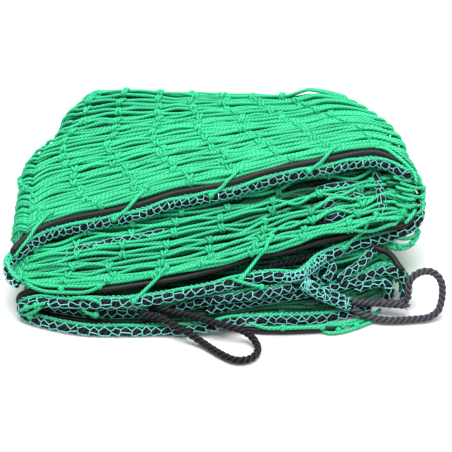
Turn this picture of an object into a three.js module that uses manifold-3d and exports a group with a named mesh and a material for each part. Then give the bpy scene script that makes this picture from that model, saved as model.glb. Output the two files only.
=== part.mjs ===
// Trailer net, folded in half lengthwise, gathered along its strands and laid back and forth into a pad.
// Millimetres, +X along the strands, both long edges of the net at the front (-Y), +Z up, floor at z = 0.
import * as THREE from 'three';
import { mergeVertices } from 'three/addons/utils/BufferGeometryUtils.js';
import Module from 'manifold-3d';

const wasm = await Module();
wasm.setup();

// Sizes that drive the shape
const ROPE_RADIUS = 4;
const ELASTIC_RADIUS = 3;
const EYE_RADIUS = 4;
const EYE_VALLEY = 2.9;
const EYE_LAY = 21;
const MESH_BAR = 45;
const TOP_WIDTH = 348;
const TOP_LEFT_X = -176;
const RIB_DEPTH = 1.3;
const KNOT_RISE = 1.5;
const SEIZING_HALF_WIDTH = 7;
const SEIZING_HALF_DEPTH = 4.6;

// Puts the middle of the footprint at the origin
const CENTRE_SHIFT = [0, -4, 0];

// Shares of the spacing from one run of the folded net to the next
const OUTER = 0.43;
const INNER = 0.09;
const PLY = (OUTER + INNER) / 2;

// Spacing of the runs at the corners of the pad, which is low at its left front and high at its right back
const PITCH = { frontLeft: 10, frontRight: 22.5, backLeft: 20.5, backRight: 24.5 };
const PAD = { leftX: -175, width: 345, frontY: -90, depth: 215 };
const DROOP_REACH = 70;
const FOLD_BULGE = 1.15;
const FOLD_PRESS = 0.85;
const FOLD_STEPS = 6;
const STATIONS_PER_BAR = 3;
const BACK_ROUND = 0.9;
const EDGE_ROUND = 1.4;
const SLOT_END = 0.96;
const MIDWAY = 0.46;
const DEPTHS = [0, 0.08, 0.18, 0.3, 0.46, 0.57, 0.645, 0.72, 0.84, 1];
const LEFT_TAPER = [[0, 0], [0.44, 0], [0.58, 0.12], [0.73, 0.56], [0.86, 0.68], [1, 1]];
const RIGHT_TAPER = 2.2;

// One row for each run, from the top down: front edge as x, y pairs, back fold as y at left, middle and
// right, droop of the front margin in spacings, fall of the right end, share of the droop lost at the right
// end, set-back of the front edge of each ply (share of the depth), stations, strands raised on each ply
const RUNS = [
  {
    name: 'top', level: 4, leftX: TOP_LEFT_X, rightX: TOP_LEFT_X + TOP_WIDTH,
    backLeftX: -121, backRightX: 122,
    front: [
      [-188, -62], [-176, -47], [-158, -35], [-100, -27], [-41, -13], [11, -7], [49, 3], [85, 10], [149, 19],
      [172, 9],
    ],
    back: [133, 121, 113], droop: 0, endDrop: 5, endLift: 0, setBackPlus: 0, setBackMinus: 0.05,
    steps: STATIONS_PER_BAR * Math.round(TOP_WIDTH / MESH_BAR), strandsPlus: 26, strandsMinus: 0,
  },
  {
    name: 'skirt', level: 3, leftX: -176, rightX: 167, backLeftX: -123, backRightX: 122,
    front: [[-172, -92], [-116, -95], [-61, -92], [-6, -81], [49, -65], [105, -50], [165, -39]],
    back: [130, 118, 108], droop: 0.6, endDrop: 0, endLift: 0, setBackPlus: 0.26, setBackMinus: 0,
    steps: 9, strandsPlus: 0, strandsMinus: 11,
  },
  {
    name: 'middle', level: 2, leftX: -168, rightX: 167, backLeftX: -122, backRightX: 122,
    front: [[-173, -89], [-114, -97], [-66, -92], [-14, -83], [35, -66], [84, -54], [130, -41], [168, -32]],
    back: [127, 116, 110], droop: 0.2, endDrop: 0, endLift: 0, setBackPlus: 0, setBackMinus: 0.12,
    steps: 8, strandsPlus: 0, strandsMinus: 0,
  },
  {
    name: 'lower', level: 1, leftX: -166, rightX: 150, backLeftX: -118, backRightX: 116,
    front: [
      [-178, -90], [-160, -96], [-136, -103], [-93, -112], [-15, -109], [58, -103], [108, -98], [150, -86],
    ],
    back: [129, 118, 106], droop: 0.97, endDrop: 0, endLift: 0.5, setBackPlus: 0, setBackMinus: 0.17,
    steps: 8, strandsPlus: 0, strandsMinus: 0,
  },
  {
    name: 'bottom', level: 0, leftX: -150, rightX: 150, backLeftX: -116, backRightX: 114,
    front: [[-150, -58], [0, -64], [150, -48]],
    back: [122, 112, 100], droop: 0, endDrop: 0, endLift: 0, setBackPlus: 0.04, setBackMinus: 0,
    steps: 5, strandsPlus: 0, strandsMinus: 0,
  },
];

// Lens-shaped openings between strands: run, ply, share of the width from the left, share of the depth,
// length and width
const SLITS = [
  ['top', 1, 0.12, 0.62, 38, 5], ['top', 1, 0.3, 0.9, 36, 5], ['top', 1, 0.47, 0.34, 36, 5],
  ['top', 1, 0.66, 0.93, 38, 5], ['top', 1, 0.82, 0.7, 36, 5], ['top', 1, 0.75, 0.2, 34, 5],
  ['top', 1, 0.2, 0.22, 36, 5], ['top', 1, 0.55, 0.6, 36, 5], ['top', 1, 0.36, 0.5, 34, 5],
  ['skirt', -1, 0.58, 0.06, 40, 5], ['skirt', -1, 0.58, 0.15, 40, 5.5],
  ['skirt', -1, 0.71, 0.06, 42, 6], ['skirt', -1, 0.71, 0.14, 42, 6.5], ['skirt', -1, 0.7, 0.22, 40, 6],
  ['skirt', -1, 0.84, 0.06, 42, 6], ['skirt', -1, 0.84, 0.14, 42, 7], ['skirt', -1, 0.83, 0.22, 42, 6],
  ['skirt', -1, 0.45, 0.11, 40, 5], ['skirt', -1, 0.32, 0.08, 38, 5], ['skirt', -1, 0.19, 0.1, 38, 5],
].map(([run, ply, across, deep, length, width]) => ({ run, ply, across, deep, length, width }));

// Routes of the cords, by hand, from the right end of the top edge round to the front
const TOP_ELASTIC = [
  [-188, -72, 52], [-176, -55, 57], [-158, -43, 61], [-129, -37, 66], [-100, -34, 70.5], [-68, -28, 76],
  [-41, -20, 81], [-14, -17, 85], [11, -14, 88.5], [49, -3, 95], [85, 3.5, 100], [110, 7, 103],
  [132, 11, 105.5], [149, 12, 106.5], [160, 8, 106], [169, 3, 103.8], [176, 2.5, 100], [181, 7, 95],
];
const TOP_ROPE_DROP = [0, -4.5, -8.4];
const TOP_ROPE_LEFT = [
  [-181, -97.5, 34], [-187, -94.5, 36], [-191.5, -87, 39.5], [-192, -78.5, 42.5], [-184.5, -68.5, 45.6],
];
const TOP_ROPE_RIGHT = [[176, -7, 95], [183, -4, 90.5], [187.5, -3, 85], [189.7, -5.5, 80]];
const FRONT_ELASTIC = [
  [184.6, -31, 63.6], [181.2, -35, 60], [175, -38, 57], [157, -40.5, 56], [130, -47, 54], [103, -53.5, 51.9],
  [84, -60, 50], [62, -67.5, 47.5], [35, -72.5, 45], [8, -82, 42], [-14, -89, 40], [-34, -94, 38],
  [-66, -98.5, 35], [-93, -102, 32.5], [-114, -103.5, 30.5], [-144, -100.5, 28], [-171, -96.5, 25],
  [-181, -96.5, 19.5], [-182.5, -96.5, 12], [-175, -99, 6], [-159, -103.5, 3.4], [-136, -110, 3.3],
  [-93, -118.5, 3.3], [-61, -118, 3.3], [-15, -117, 3.3], [10, -120, 3.3], [32, -125.5, 3.3],
  [55, -127, 3.3], [85, -125.7, 3.3], [113, -122.5, 3.3],
];
const FRONT_ROPE = [
  [190, -6.6, 78.4], [191, -11, 73.5], [192, -20, 66], [191.5, -28, 59], [183, -35, 52.5], [170, -40, 48],
  [151, -45, 45.5], [130, -51, 44], [111, -60, 42], [96, -69, 40], [86, -79, 38.5], [76, -89.5, 37.5],
  [62, -91, 37], [46, -89, 36], [29, -91, 35], [8, -98, 33], [-21, -105.5, 31], [-46, -111, 29],
  [-72, -115, 27.5], [-106, -114.5, 25], [-143, -110.5, 22.5], [-166, -107.5, 20.5], [-177, -105.5, 16],
  [-180.5, -105, 11], [-177, -108, 6.5], [-169, -112, 4.5], [-158, -117, 4.3], [-140, -123, 4.3],
  [-120, -127.5, 4.3], [-88, -129, 4.3], [-52, -128, 4.3], [-25, -128.5, 5.5], [2, -127, 9.8],
  [20, -123.5, 11.2], [38, -119, 9], [58, -115.5, 6], [92, -112, 4.6], [110, -107, 4.2], [120, -103.5, 4.1],
  [127, -100.5, 4.1], [135, -98, 4.1], [142, -95.5, 4.1],
];
const INNER_ROPE = [
  [-153, -102, 10.5], [-115, -109.5, 9.8], [-85, -111, 10.4], [-58, -109.5, 11.4], [-32, -107, 15],
  [-8, -104, 20], [10, -105, 23], [31, -103.5, 25], [53, -100, 27], [72, -92, 27],
];
const CORNER_ROPE = [
  [-10, -107, 11.5], [12, -104, 13.8], [35, -100, 15.8], [58, -96, 17.5], [86, -90.5, 19.5], [115, -85, 22],
  [133, -80.5, 26.5], [150, -77, 32], [163, -77, 33.5], [173, -80, 28], [177, -85, 18], [173.5, -87, 9],
];
const SEIZING = [[79.4, -93.8, 33.3], [92, -99.5, 27.5], [107, -101, 20.5], [122.2, -101.2, 13.3]];
const FRONT_EYE = [
  [-61, -110.5, 19.3], [-45, -118.5, 19.4], [-27, -122.5, 18.5], [-10, -129, 18], [3, -134, 17],
  [15, -136, 14.5], [25, -137, 11], [32, -141, 7.5], [36, -147, 5], [37, -154, 4.3], [34, -162, 4.3],
  [28, -167, 4.3], [20, -168.5, 4.3], [13, -166.5, 4.3], [5, -161, 4.3], [-3, -154, 4.3], [-14, -145, 6],
  [-27, -138, 11], [-41, -130.5, 15], [-55, -123.5, 17.4], [-70, -121, 18.6],
];
const SIDE_EYE = [
  [124.2, -105.4, 12], [132, -108.5, 9], [142, -111, 6], [154, -113, 4.6], [168, -113, 4.3],
  [182, -111.5, 4.3], [195, -109.5, 5], [203.5, -105.5, 9], [207, -99.5, 17], [207.5, -94, 28],
  [204.5, -91, 36], [198, -88.5, 41], [190, -88.5, 42], [181, -92.5, 40.5], [176, -96.5, 35.5],
  [175.5, -99, 27], [175.5, -99.5, 19], [170.5, -99, 13.8], [161, -99, 12.8], [141, -99, 13.2],
  [131, -98.6, 13.3], [124.2, -98, 13.3],
];

const lerp = THREE.MathUtils.lerp;
const clamp = THREE.MathUtils.clamp;

// Smooth value at x through a table of x, y pairs
function along(table, x) {
  const last = table.length - 1;
  let i = 0;
  while (i < last - 1 && x > table[i + 1][0]) i += 1;
  const slope = (k) => {
    const a = table[Math.max(0, k - 1)];
    const b = table[Math.min(last, k + 1)];
    return (b[1] - a[1]) / (b[0] - a[0]);
  };
  const [x0, y0] = table[i];
  const [x1, y1] = table[i + 1];
  const t = (x - x0) / (x1 - x0);
  if (t < 0) return y0 + slope(i) * (x - x0);
  if (t > 1) return y1 + slope(i + 1) * (x - x1);
  const w = x1 - x0;
  const h = t * t * (3 - 2 * t);
  return lerp(y0, y1, h) + w * (slope(i) * t * (1 - t) ** 2 - slope(i + 1) * t * t * (1 - t));
}

function pitchAt(x, y) {
  const across = clamp((x - PAD.leftX) / PAD.width, 0, 1);
  const deep = clamp((y - PAD.frontY) / PAD.depth, 0, 1);
  const front = lerp(PITCH.frontLeft, PITCH.frontRight, across);
  return lerp(front, lerp(PITCH.backLeft, PITCH.backRight, across), deep);
}

// Middle of a run: across 0 at the left end to 1 at the right; deep 0 at the front edge to 1 at the fold
function runPoint(run, across, deep) {
  const left = lerp(run.leftX, run.backLeftX, along(LEFT_TAPER, deep));
  const right = lerp(run.rightX, run.backRightX, deep ** RIGHT_TAPER);
  const x = lerp(left, right, across);
  const frontY = along(run.front, lerp(run.leftX, run.rightX, across));
  const [backLeft, backMiddle, backRight] = run.back;
  const y = lerp(frontY, along([[0, backLeft], [0.5, backMiddle], [1, backRight]], across), deep);
  const pitch = pitchAt(x, y);
  const margin = Math.max(0, 1 - (y - frontY) / DROOP_REACH);
  const end = Math.max(0, (across - 0.86) / 0.14);
  const droop = run.droop * margin ** 2 * (1 - run.endLift * end);
  const z = (run.level + OUTER - droop) * pitch - run.endDrop * end ** 2;
  return new THREE.Vector3(x, y, z);
}

// Middle of the fold from one run to the next, turn 0 to 1
function foldPoint(index, turn, deep) {
  const atLeft = index % 2 === 0;
  const end = atLeft ? 0 : 1;
  const upper = runPoint(RUNS[index], end, deep);
  const lower = runPoint(RUNS[index + 1], end, deep);
  const half = upper.clone().sub(lower).multiplyScalar(0.5);
  const bulge = FOLD_BULGE * half.z * Math.sin(Math.PI * turn) * (atLeft ? -1 : 1);
  const point = upper.clone().add(lower).multiplyScalar(0.5).addScaledVector(half, Math.cos(Math.PI * turn));
  point.x += bulge;
  return point;
}

// Share of the full thickness that has room in a fold, where a drooping margin brings two runs together
function foldRoom(index, deep) {
  const end = index % 2;
  const upper = runPoint(RUNS[index], end, deep);
  const lower = runPoint(RUNS[index + 1], end, deep);
  const share = (upper.z - lower.z) / pitchAt(upper.x, upper.y);
  return FOLD_PRESS * clamp(share, 0.33, 1);
}

// A station is a place along the folded length: in a run (from its start to its end) or in a fold
function middle(station, deep, shift = 0) {
  const t = station.t + shift;
  if (station.fold) return foldPoint(station.index, t, deep);
  return runPoint(RUNS[station.index], station.index % 2 === 0 ? 1 - t : t, deep);
}

// Point of the net at a station: offset in spacings toward the plus ply, the upper one in the top run
function netPoint(station, deep, offset, rise = 0, reach = 0) {
  const point = middle(station, deep);
  const squeeze = station.fold ? foldRoom(station.index, deep) : 1;
  const before = middle(station, deep, -0.01);
  const after = middle(station, deep, 0.01);
  const dx = after.x - before.x;
  const dz = after.z - before.z;
  const size = Math.hypot(dx, dz);
  const out = (offset * pitchAt(point.x, point.y) + rise * Math.sign(offset)) * squeeze;
  point.x += (dz / size) * out;
  point.z -= (dx / size) * out;
  point.y += reach;
  return point;
}

// Places across a ply from its front edge to the back fold, closer together toward the front
function places(from, strands) {
  const count = strands * 2;
  if (!strands) return DEPTHS.map((share) => depthFrom(from, share));
  return Array.from({ length: count }, (_, i) => lerp(from, 1, (i / (count - 1)) ** 1.2));
}

// Depth of a place counted from a ply's own front edge; every ply has the same places behind the middle
function depthFrom(from, share) {
  return share < MIDWAY ? lerp(from, MIDWAY, share / MIDWAY) : share;
}

// Height of a strand or of the furrow beside it, at one place across a ply
function strandRise(i, knotRow) {
  if (i % 2 === 1) return -RIB_DEPTH;
  return knotRow !== undefined && (i / 2 + knotRow) % 2 === 0 ? KNOT_RISE : 0;
}

// Closed outline of the two plies at a station, in parts that join end to end
function outline(station) {
  const run = RUNS[station.index];
  const next = RUNS[Math.min(station.index + 1, RUNS.length - 1)];
  const setBack = (name) => (station.fold ? lerp(run[name], next[name], station.t) : run[name]);
  const plus = setBack('setBackPlus');
  const minus = setBack('setBackMinus');
  const outerPlus = places(plus, station.strandsPlus)
    .map((deep, i) => netPoint(station, deep, OUTER, strandRise(i, station.knotRow)));
  const outerMinus = places(minus, station.strandsMinus)
    .map((deep, i) => netPoint(station, deep, -OUTER, station.flat ? 0 : strandRise(i)))
    .reverse();
  if (station.flat && !station.fold) outerMinus.forEach((point) => point.setZ(0));
  const fold = middle(station, 1);
  const back = [55, 90, 125].map((angle) => {
    const turn = THREE.MathUtils.degToRad(angle);
    const reach = BACK_ROUND * OUTER * pitchAt(fold.x, fold.y) * Math.sin(turn);
    return netPoint(station, 1, OUTER * Math.cos(turn), 0, reach);
  });
  const inner = [...DEPTHS.slice(1, -1), SLOT_END];
  const slotMinus = inner.map((share) => netPoint(station, depthFrom(minus, share), -INNER));
  const slotPlus = inner.map((share) => netPoint(station, depthFrom(plus, share), INNER)).reverse();
  return [
    outerPlus,
    back,
    outerMinus,
    [netPoint(station, minus, -PLY, 0, -EDGE_ROUND), netPoint(station, minus, -INNER)],
    slotMinus,
    slotPlus,
    [netPoint(station, plus, INNER), netPoint(station, plus, PLY, 0, -EDGE_ROUND)],
  ];
}

// Stations from the right end of the top run to the left end of the bottom run
function stations() {
  const list = [];
  const last = RUNS.length - 1;
  RUNS.forEach((run, index) => {
    const top = index === 0;
    for (let k = 0; k <= run.steps; k += 1) {
      list.push({
        fold: false, index, t: k / run.steps, strandsPlus: run.strandsPlus, strandsMinus: run.strandsMinus,
        knotRow: top && k % STATIONS_PER_BAR === 1 ? (k - 1) / STATIONS_PER_BAR : undefined,
        flat: index === last,
      });
    }
    for (let k = 1; index < last && k < FOLD_STEPS; k += 1) {
      list.push({
        fold: true, index, t: k / FOLD_STEPS, strandsPlus: top ? 13 : 0, strandsMinus: 0,
        flat: index === last - 1 && 2 * k > FOLD_STEPS,
      });
    }
  });
  return list;
}

function meshFrom(points, triangles) {
  const geometry = new THREE.BufferGeometry();
  const numbers = points.flatMap((p) => [p.x, p.y, p.z]);
  geometry.setAttribute('position', new THREE.Float32BufferAttribute(numbers, 3));
  geometry.setIndex(triangles);
  return geometry;
}

// Triangles between two rings whose parts may hold different numbers of points
function zip(ringA, ringB, startA, startB, triangles) {
  const flatA = [];
  const flatB = [];
  ringA.forEach((part, k) => {
    part.forEach((_, i) => flatA.push(k + i / part.length));
    ringB[k].forEach((_, i) => flatB.push(k + i / ringB[k].length));
  });
  let i = 0;
  let j = 0;
  while (i < flatA.length || j < flatB.length) {
    const a = startA + (i % flatA.length);
    const b = startB + (j % flatB.length);
    const nextA = i + 1 < flatA.length ? flatA[i + 1] : ringA.length;
    const nextB = j + 1 < flatB.length ? flatB[j + 1] : ringA.length;
    if (j === flatB.length || (i < flatA.length && nextA <= nextB)) {
      triangles.push(a, startA + ((i + 1) % flatA.length), b);
      i += 1;
    } else {
      triangles.push(a, startB + ((j + 1) % flatB.length), b);
      j += 1;
    }
  }
}

// Triangles of a strip between an outer and an inner row of points that run the same way
function strip(outer, inner, face) {
  let i = 0;
  let j = 0;
  while (i < outer.length - 1 || j < inner.length - 1) {
    const shareOuter = (i + 1) / outer.length;
    const shareInner = (j + 1) / inner.length;
    if (j === inner.length - 1 || (i < outer.length - 1 && shareOuter <= shareInner)) {
      face(outer[i], outer[i + 1], inner[j]);
      i += 1;
    } else {
      face(outer[i], inner[j + 1], inner[j]);
      j += 1;
    }
  }
}

// End face of the two plies: a strip across each ply and a fan at the back fold
function capEnd(ring, start, flip, triangles) {
  const face = (a, b, c) => triangles.push(a, flip ? c : b, flip ? b : c);
  let count = start;
  const [outerPlus, back, outerMinus, edgeMinus, slotMinus, slotPlus, edgePlus] = ring.map((part) => {
    count += part.length;
    return part.map((_, i) => count - part.length + i);
  });
  const innerPlus = [...slotPlus, edgePlus[0]].reverse();
  const innerMinus = [edgeMinus[1], ...slotMinus].reverse();
  strip(outerPlus, innerPlus, face);
  strip(outerMinus, innerMinus, face);
  face(edgePlus[0], edgePlus[1], outerPlus[0]);
  face(outerMinus[outerMinus.length - 1], edgeMinus[0], edgeMinus[1]);
  const rim = [slotPlus[0], outerPlus[outerPlus.length - 1], ...back, outerMinus[0]];
  for (let i = 0; i + 1 < rim.length; i += 1) face(innerMinus[0], rim[i], rim[i + 1]);
}

function netSolid() {
  const list = stations();
  const points = [];
  const triangles = [];
  const rings = list.map((station) => outline(station));
  const starts = rings.map((ring) => {
    const start = points.length;
    points.push(...ring.flat());
    return start;
  });
  for (let k = 0; k + 1 < rings.length; k += 1) {
    zip(rings[k], rings[k + 1], starts[k], starts[k + 1], triangles);
  }
  const last = rings.length - 1;
  capEnd(rings[0], starts[0], true, triangles);
  capEnd(rings[last], starts[last], false, triangles);
  return outward(meshFrom(points, triangles));
}

// Turns the faces of a closed surface outward
function outward(geometry) {
  const p = geometry.attributes.position;
  const index = Array.from(geometry.index.array);
  const corner = (i) => new THREE.Vector3().fromBufferAttribute(p, i);
  let volume = 0;
  for (let k = 0; k < index.length; k += 3) {
    const [a, b, c] = [corner(index[k]), corner(index[k + 1]), corner(index[k + 2])];
    volume += a.dot(b.cross(c)) / 6;
  }
  if (volume < 0) {
    for (let k = 0; k < index.length; k += 3) [index[k], index[k + 1]] = [index[k + 1], index[k]];
    geometry.setIndex(index);
  }
  return geometry;
}

function toManifold(geometry) {
  const clean = geometry.clone();
  clean.deleteAttribute('normal');
  clean.deleteAttribute('uv');
  const merged = mergeVertices(clean, 1e-4);
  return new wasm.Manifold(new wasm.Mesh({
    numProp: 3,
    vertProperties: new Float32Array(merged.attributes.position.array),
    triVerts: new Uint32Array(merged.index.array),
  }));
}

function fromManifold(solid) {
  const mesh = solid.getMesh();
  const geometry = new THREE.BufferGeometry();
  geometry.setAttribute('position', new THREE.BufferAttribute(new Float32Array(mesh.vertProperties), 3));
  geometry.setIndex(new THREE.BufferAttribute(new Uint32Array(mesh.triVerts), 1));
  return geometry;
}

// Lens-shaped cutter through one ply, along the strands
function slitCutter(slit) {
  const index = RUNS.findIndex((run) => run.name === slit.run);
  const station = { fold: false, index, t: index % 2 === 0 ? 1 - slit.across : slit.across };
  const outside = netPoint(station, slit.deep, OUTER * slit.ply, 3);
  const inside = netPoint(station, slit.deep, 0.01 * slit.ply);
  const forward = middle(station, slit.deep, 0.02).sub(middle(station, slit.deep, -0.02)).normalize();
  const depth = inside.clone().sub(outside);
  const side = new THREE.Vector3().crossVectors(depth, forward).normalize();
  const steps = [-1, -0.6, 0, 0.6, 1];
  const rim = [
    ...steps.map((t) => [t, 1 - t * t]),
    ...steps.slice(1, -1).reverse().map((t) => [t, t * t - 1]),
  ].map(([t, w]) => [(t * slit.length) / 2, (w * slit.width) / 2]);
  const points = [outside, inside].flatMap((centre) => rim
    .map(([u, w]) => centre.clone().addScaledVector(forward, u).addScaledVector(side, w)));
  const n = rim.length;
  const triangles = [];
  for (let i = 0; i < n; i += 1) {
    const j = (i + 1) % n;
    triangles.push(i, j, n + i, j, n + j, n + i);
    if (i > 0 && i < n - 1) triangles.push(0, i + 1, i, n, n + i, n + i + 1);
  }
  return outward(meshFrom(points, triangles));
}

// Closed tube along a smooth curve; section gives the radius and angle of each corner at a length along it
function tube(route, steps, sides, section) {
  const corners = route.map((p) => new THREE.Vector3(...p));
  const curve = new THREE.CatmullRomCurve3(corners, false, 'centripetal');
  curve.arcLengthDivisions = 1000;
  const centres = curve.getSpacedPoints(steps);
  const length = curve.getLength();
  const points = [];
  const triangles = [];
  let across = new THREE.Vector3(0, 0, 1);
  centres.forEach((centre, k) => {
    const ahead = curve.getTangentAt(k / steps);
    across = across.addScaledVector(ahead, -across.dot(ahead)).normalize();
    const side = new THREE.Vector3().crossVectors(ahead, across);
    for (let i = 0; i < sides; i += 1) {
      const [radius, angle, squash] = section(i, (length * k) / steps);
      points.push(centre.clone()
        .addScaledVector(across, radius * squash * Math.cos(angle))
        .addScaledVector(side, radius * Math.sin(angle)));
    }
  });
  for (let k = 0; k < steps; k += 1) {
    for (let i = 0; i < sides; i += 1) {
      const a = k * sides + i;
      const b = k * sides + ((i + 1) % sides);
      triangles.push(a, b, a + sides, b, b + sides, a + sides);
    }
  }
  for (let i = 1; i < sides - 1; i += 1) {
    triangles.push(0, i + 1, i);
    triangles.push(steps * sides, steps * sides + i, steps * sides + i + 1);
  }
  return outward(meshFrom(points, triangles));
}

const round = (radius, sides) => (i) => [radius, (2 * Math.PI * (i + 0.5)) / sides, 1];

// Three strands laid round each other
const laid = (i, along) => [
  i % 2 === 0 ? EYE_RADIUS : EYE_VALLEY,
  (Math.PI * i) / 3 - (2 * Math.PI * along) / EYE_LAY,
  1,
];

// Two ropes side by side, sewn over into one flat bundle
const flattened = (i) => [
  SEIZING_HALF_WIDTH,
  (Math.PI * (i + 0.5)) / 5,
  SEIZING_HALF_DEPTH / SEIZING_HALF_WIDTH,
];

const topRope = [
  ...TOP_ROPE_LEFT,
  ...TOP_ELASTIC.slice(2, -3).map((p) => p.map((value, k) => value + TOP_ROPE_DROP[k])),
  ...TOP_ROPE_RIGHT,
];

function netWithSlits() {
  let solid = toManifold(netSolid());
  SLITS.forEach((slit) => {
    solid = solid.subtract(toManifold(slitCutter(slit)));
  });
  return fromManifold(solid);
}

const green = { color: new THREE.Color('#2fd07c'), roughness: 0.55, metalness: 0 };
const dark = { color: new THREE.Color('#39363a'), roughness: 0.6, metalness: 0 };
const black = { color: new THREE.Color('#26232a'), roughness: 0.75, metalness: 0 };
const thread = { color: new THREE.Color('#4d8f86'), roughness: 0.7, metalness: 0 };

const pieces = [
  ['net', netWithSlits(), green],
  ['elastic_top', tube(TOP_ELASTIC, 30, 8, round(ELASTIC_RADIUS, 8)), dark],
  ['elastic_front', tube(FRONT_ELASTIC, 62, 8, round(ELASTIC_RADIUS, 8)), dark],
  ['border_rope_top', tube(topRope, 36, 8, round(ROPE_RADIUS, 8)), black],
  ['border_rope_front', tube(FRONT_ROPE, 76, 8, round(ROPE_RADIUS, 8)), black],
  ['border_rope_inner', tube(INNER_ROPE, 18, 8, round(ROPE_RADIUS, 8)), black],
  ['border_rope_corner', tube(CORNER_ROPE, 22, 8, round(ROPE_RADIUS, 8)), black],
  ['corner_seizing', tube(SEIZING, 6, 10, flattened), thread],
  ['rope_eye_front', tube(FRONT_EYE, 100, 6, laid), black],
  ['rope_eye_side', tube(SIDE_EYE, 100, 6, laid), black],
];

const group = new THREE.Group();
pieces.forEach(([name, geometry, look]) => {
  geometry.translate(...CENTRE_SHIFT);
  const mesh = new THREE.Mesh(geometry, new THREE.MeshStandardMaterial(look));
  mesh.name = name;
  group.add(mesh);
});

export default group;
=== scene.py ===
import math

import bpy
import numpy as np
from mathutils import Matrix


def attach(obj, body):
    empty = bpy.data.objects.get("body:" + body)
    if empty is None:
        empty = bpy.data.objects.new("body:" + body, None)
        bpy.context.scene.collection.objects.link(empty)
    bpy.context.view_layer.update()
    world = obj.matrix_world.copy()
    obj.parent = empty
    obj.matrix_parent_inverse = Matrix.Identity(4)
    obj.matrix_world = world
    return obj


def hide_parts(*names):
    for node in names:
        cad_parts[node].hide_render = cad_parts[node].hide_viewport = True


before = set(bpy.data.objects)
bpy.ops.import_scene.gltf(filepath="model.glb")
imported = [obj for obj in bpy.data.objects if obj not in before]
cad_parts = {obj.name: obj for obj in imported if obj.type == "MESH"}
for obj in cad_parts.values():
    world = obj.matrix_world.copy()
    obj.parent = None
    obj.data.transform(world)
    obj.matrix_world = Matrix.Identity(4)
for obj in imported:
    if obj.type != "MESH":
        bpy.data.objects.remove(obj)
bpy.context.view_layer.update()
scene = bpy.context.scene
scene.view_settings.view_transform = "Standard"

# Every shape is worked out in millimetres and turned into metres when its mesh is made
mm = 0.001
padShift = np.array([0.0, -4.0, 0.0])  # same shift as the solids have
floorClear = 0.25  # nothing goes lower than this
tiny = 1e-9
leastSteps = 4  # along any route
upward = np.array([0.0, 0.0, 1.0])


def addObject(name, data):
    made = bpy.data.objects.new(name, data)
    scene.collection.objects.link(made)
    return made


# Camera at the photograph's angle
view = {"elevation": 36.0, "distance": 1350.0, "target": (8.5, -30.0, 48.0), "lens": 113.2, "sensor": 36.0,
        "near": 50.0}


def placeCamera():
    lift = math.radians(view["elevation"])
    target = np.array(view["target"])
    place = target + view["distance"] * np.array([0.0, -math.cos(lift), math.sin(lift)])
    data = bpy.data.cameras.new("photoCamera")
    data.lens = view["lens"]
    data.sensor_width = view["sensor"]
    data.clip_start = view["near"] * mm
    camera = addObject("photoCamera", data)
    camera.location = place * mm
    camera.rotation_euler = (math.pi / 2 - lift, 0.0, 0.0)
    scene.camera = camera
    print("camera placed")


placeCamera()


# The folded band, with the same runs as the solid net
band = {
    "outer": 0.43,
    "pitch": {"frontLeft": 10.0, "frontRight": 22.5, "backLeft": 20.5, "backRight": 24.5},
    "leftX": -175.0, "width": 345.0, "frontY": -90.0, "depth": 215.0,
    "droopReach": 70.0, "endShare": 0.14, "foldBulge": 1.15, "foldPress": 0.85, "leastPress": 0.33,
    "backRound": 0.9, "rightTaper": 2.2, "probe": 0.01,
    "leftTaper": [(0, 0), (0.44, 0), (0.58, 0.12), (0.73, 0.56), (0.86, 0.68), (1, 1)],
    "lengths": [348, 38, 343, 40, 335, 34, 316, 36, 300],  # run, fold, run and so on, from the top down
}
plainRun = {"droop": 0.0, "endDrop": 0.0, "endLift": 0.0}
runs = [  # the top, the skirt, the middle, the lower and the bottom run
    {**plainRun, "level": 4, "leftX": -176, "rightX": 172, "backLeftX": -121, "backRightX": 122,
     "front": [(-188, -62), (-176, -47), (-158, -35), (-100, -27), (-41, -13), (11, -7), (49, 3), (85, 10),
               (149, 19), (172, 9)],
     "back": (133, 121, 113), "endDrop": 5.0, "setBack": (0.0, 0.05)},
    {**plainRun, "level": 3, "leftX": -176, "rightX": 167, "backLeftX": -123, "backRightX": 122,
     "front": [(-172, -92), (-116, -95), (-61, -92), (-6, -81), (49, -65), (105, -50), (165, -39)],
     "back": (130, 118, 108), "droop": 0.6, "setBack": (0.26, 0.0)},
    {**plainRun, "level": 2, "leftX": -168, "rightX": 167, "backLeftX": -122, "backRightX": 122,
     "front": [(-173, -89), (-114, -97), (-66, -92), (-14, -83), (35, -66), (84, -54), (130, -41),
               (168, -32)],
     "back": (127, 116, 110), "droop": 0.2, "setBack": (0.0, 0.12)},
    {**plainRun, "level": 1, "leftX": -166, "rightX": 150, "backLeftX": -118, "backRightX": 116,
     "front": [(-178, -90), (-160, -96), (-136, -103), (-93, -112), (-15, -109), (58, -103), (108, -98),
               (150, -86)],
     "back": (129, 118, 106), "droop": 0.97, "endLift": 0.5, "setBack": (0.0, 0.17)},
    {**plainRun, "level": 0, "leftX": -150, "rightX": 150, "backLeftX": -116, "backRightX": 114,
     "front": [(-150, -58), (0, -64), (150, -48)],
     "back": (122, 112, 100), "setBack": (0.04, 0.0)},
]


def mix(a, b, t):
    return a + (b - a) * t


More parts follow.
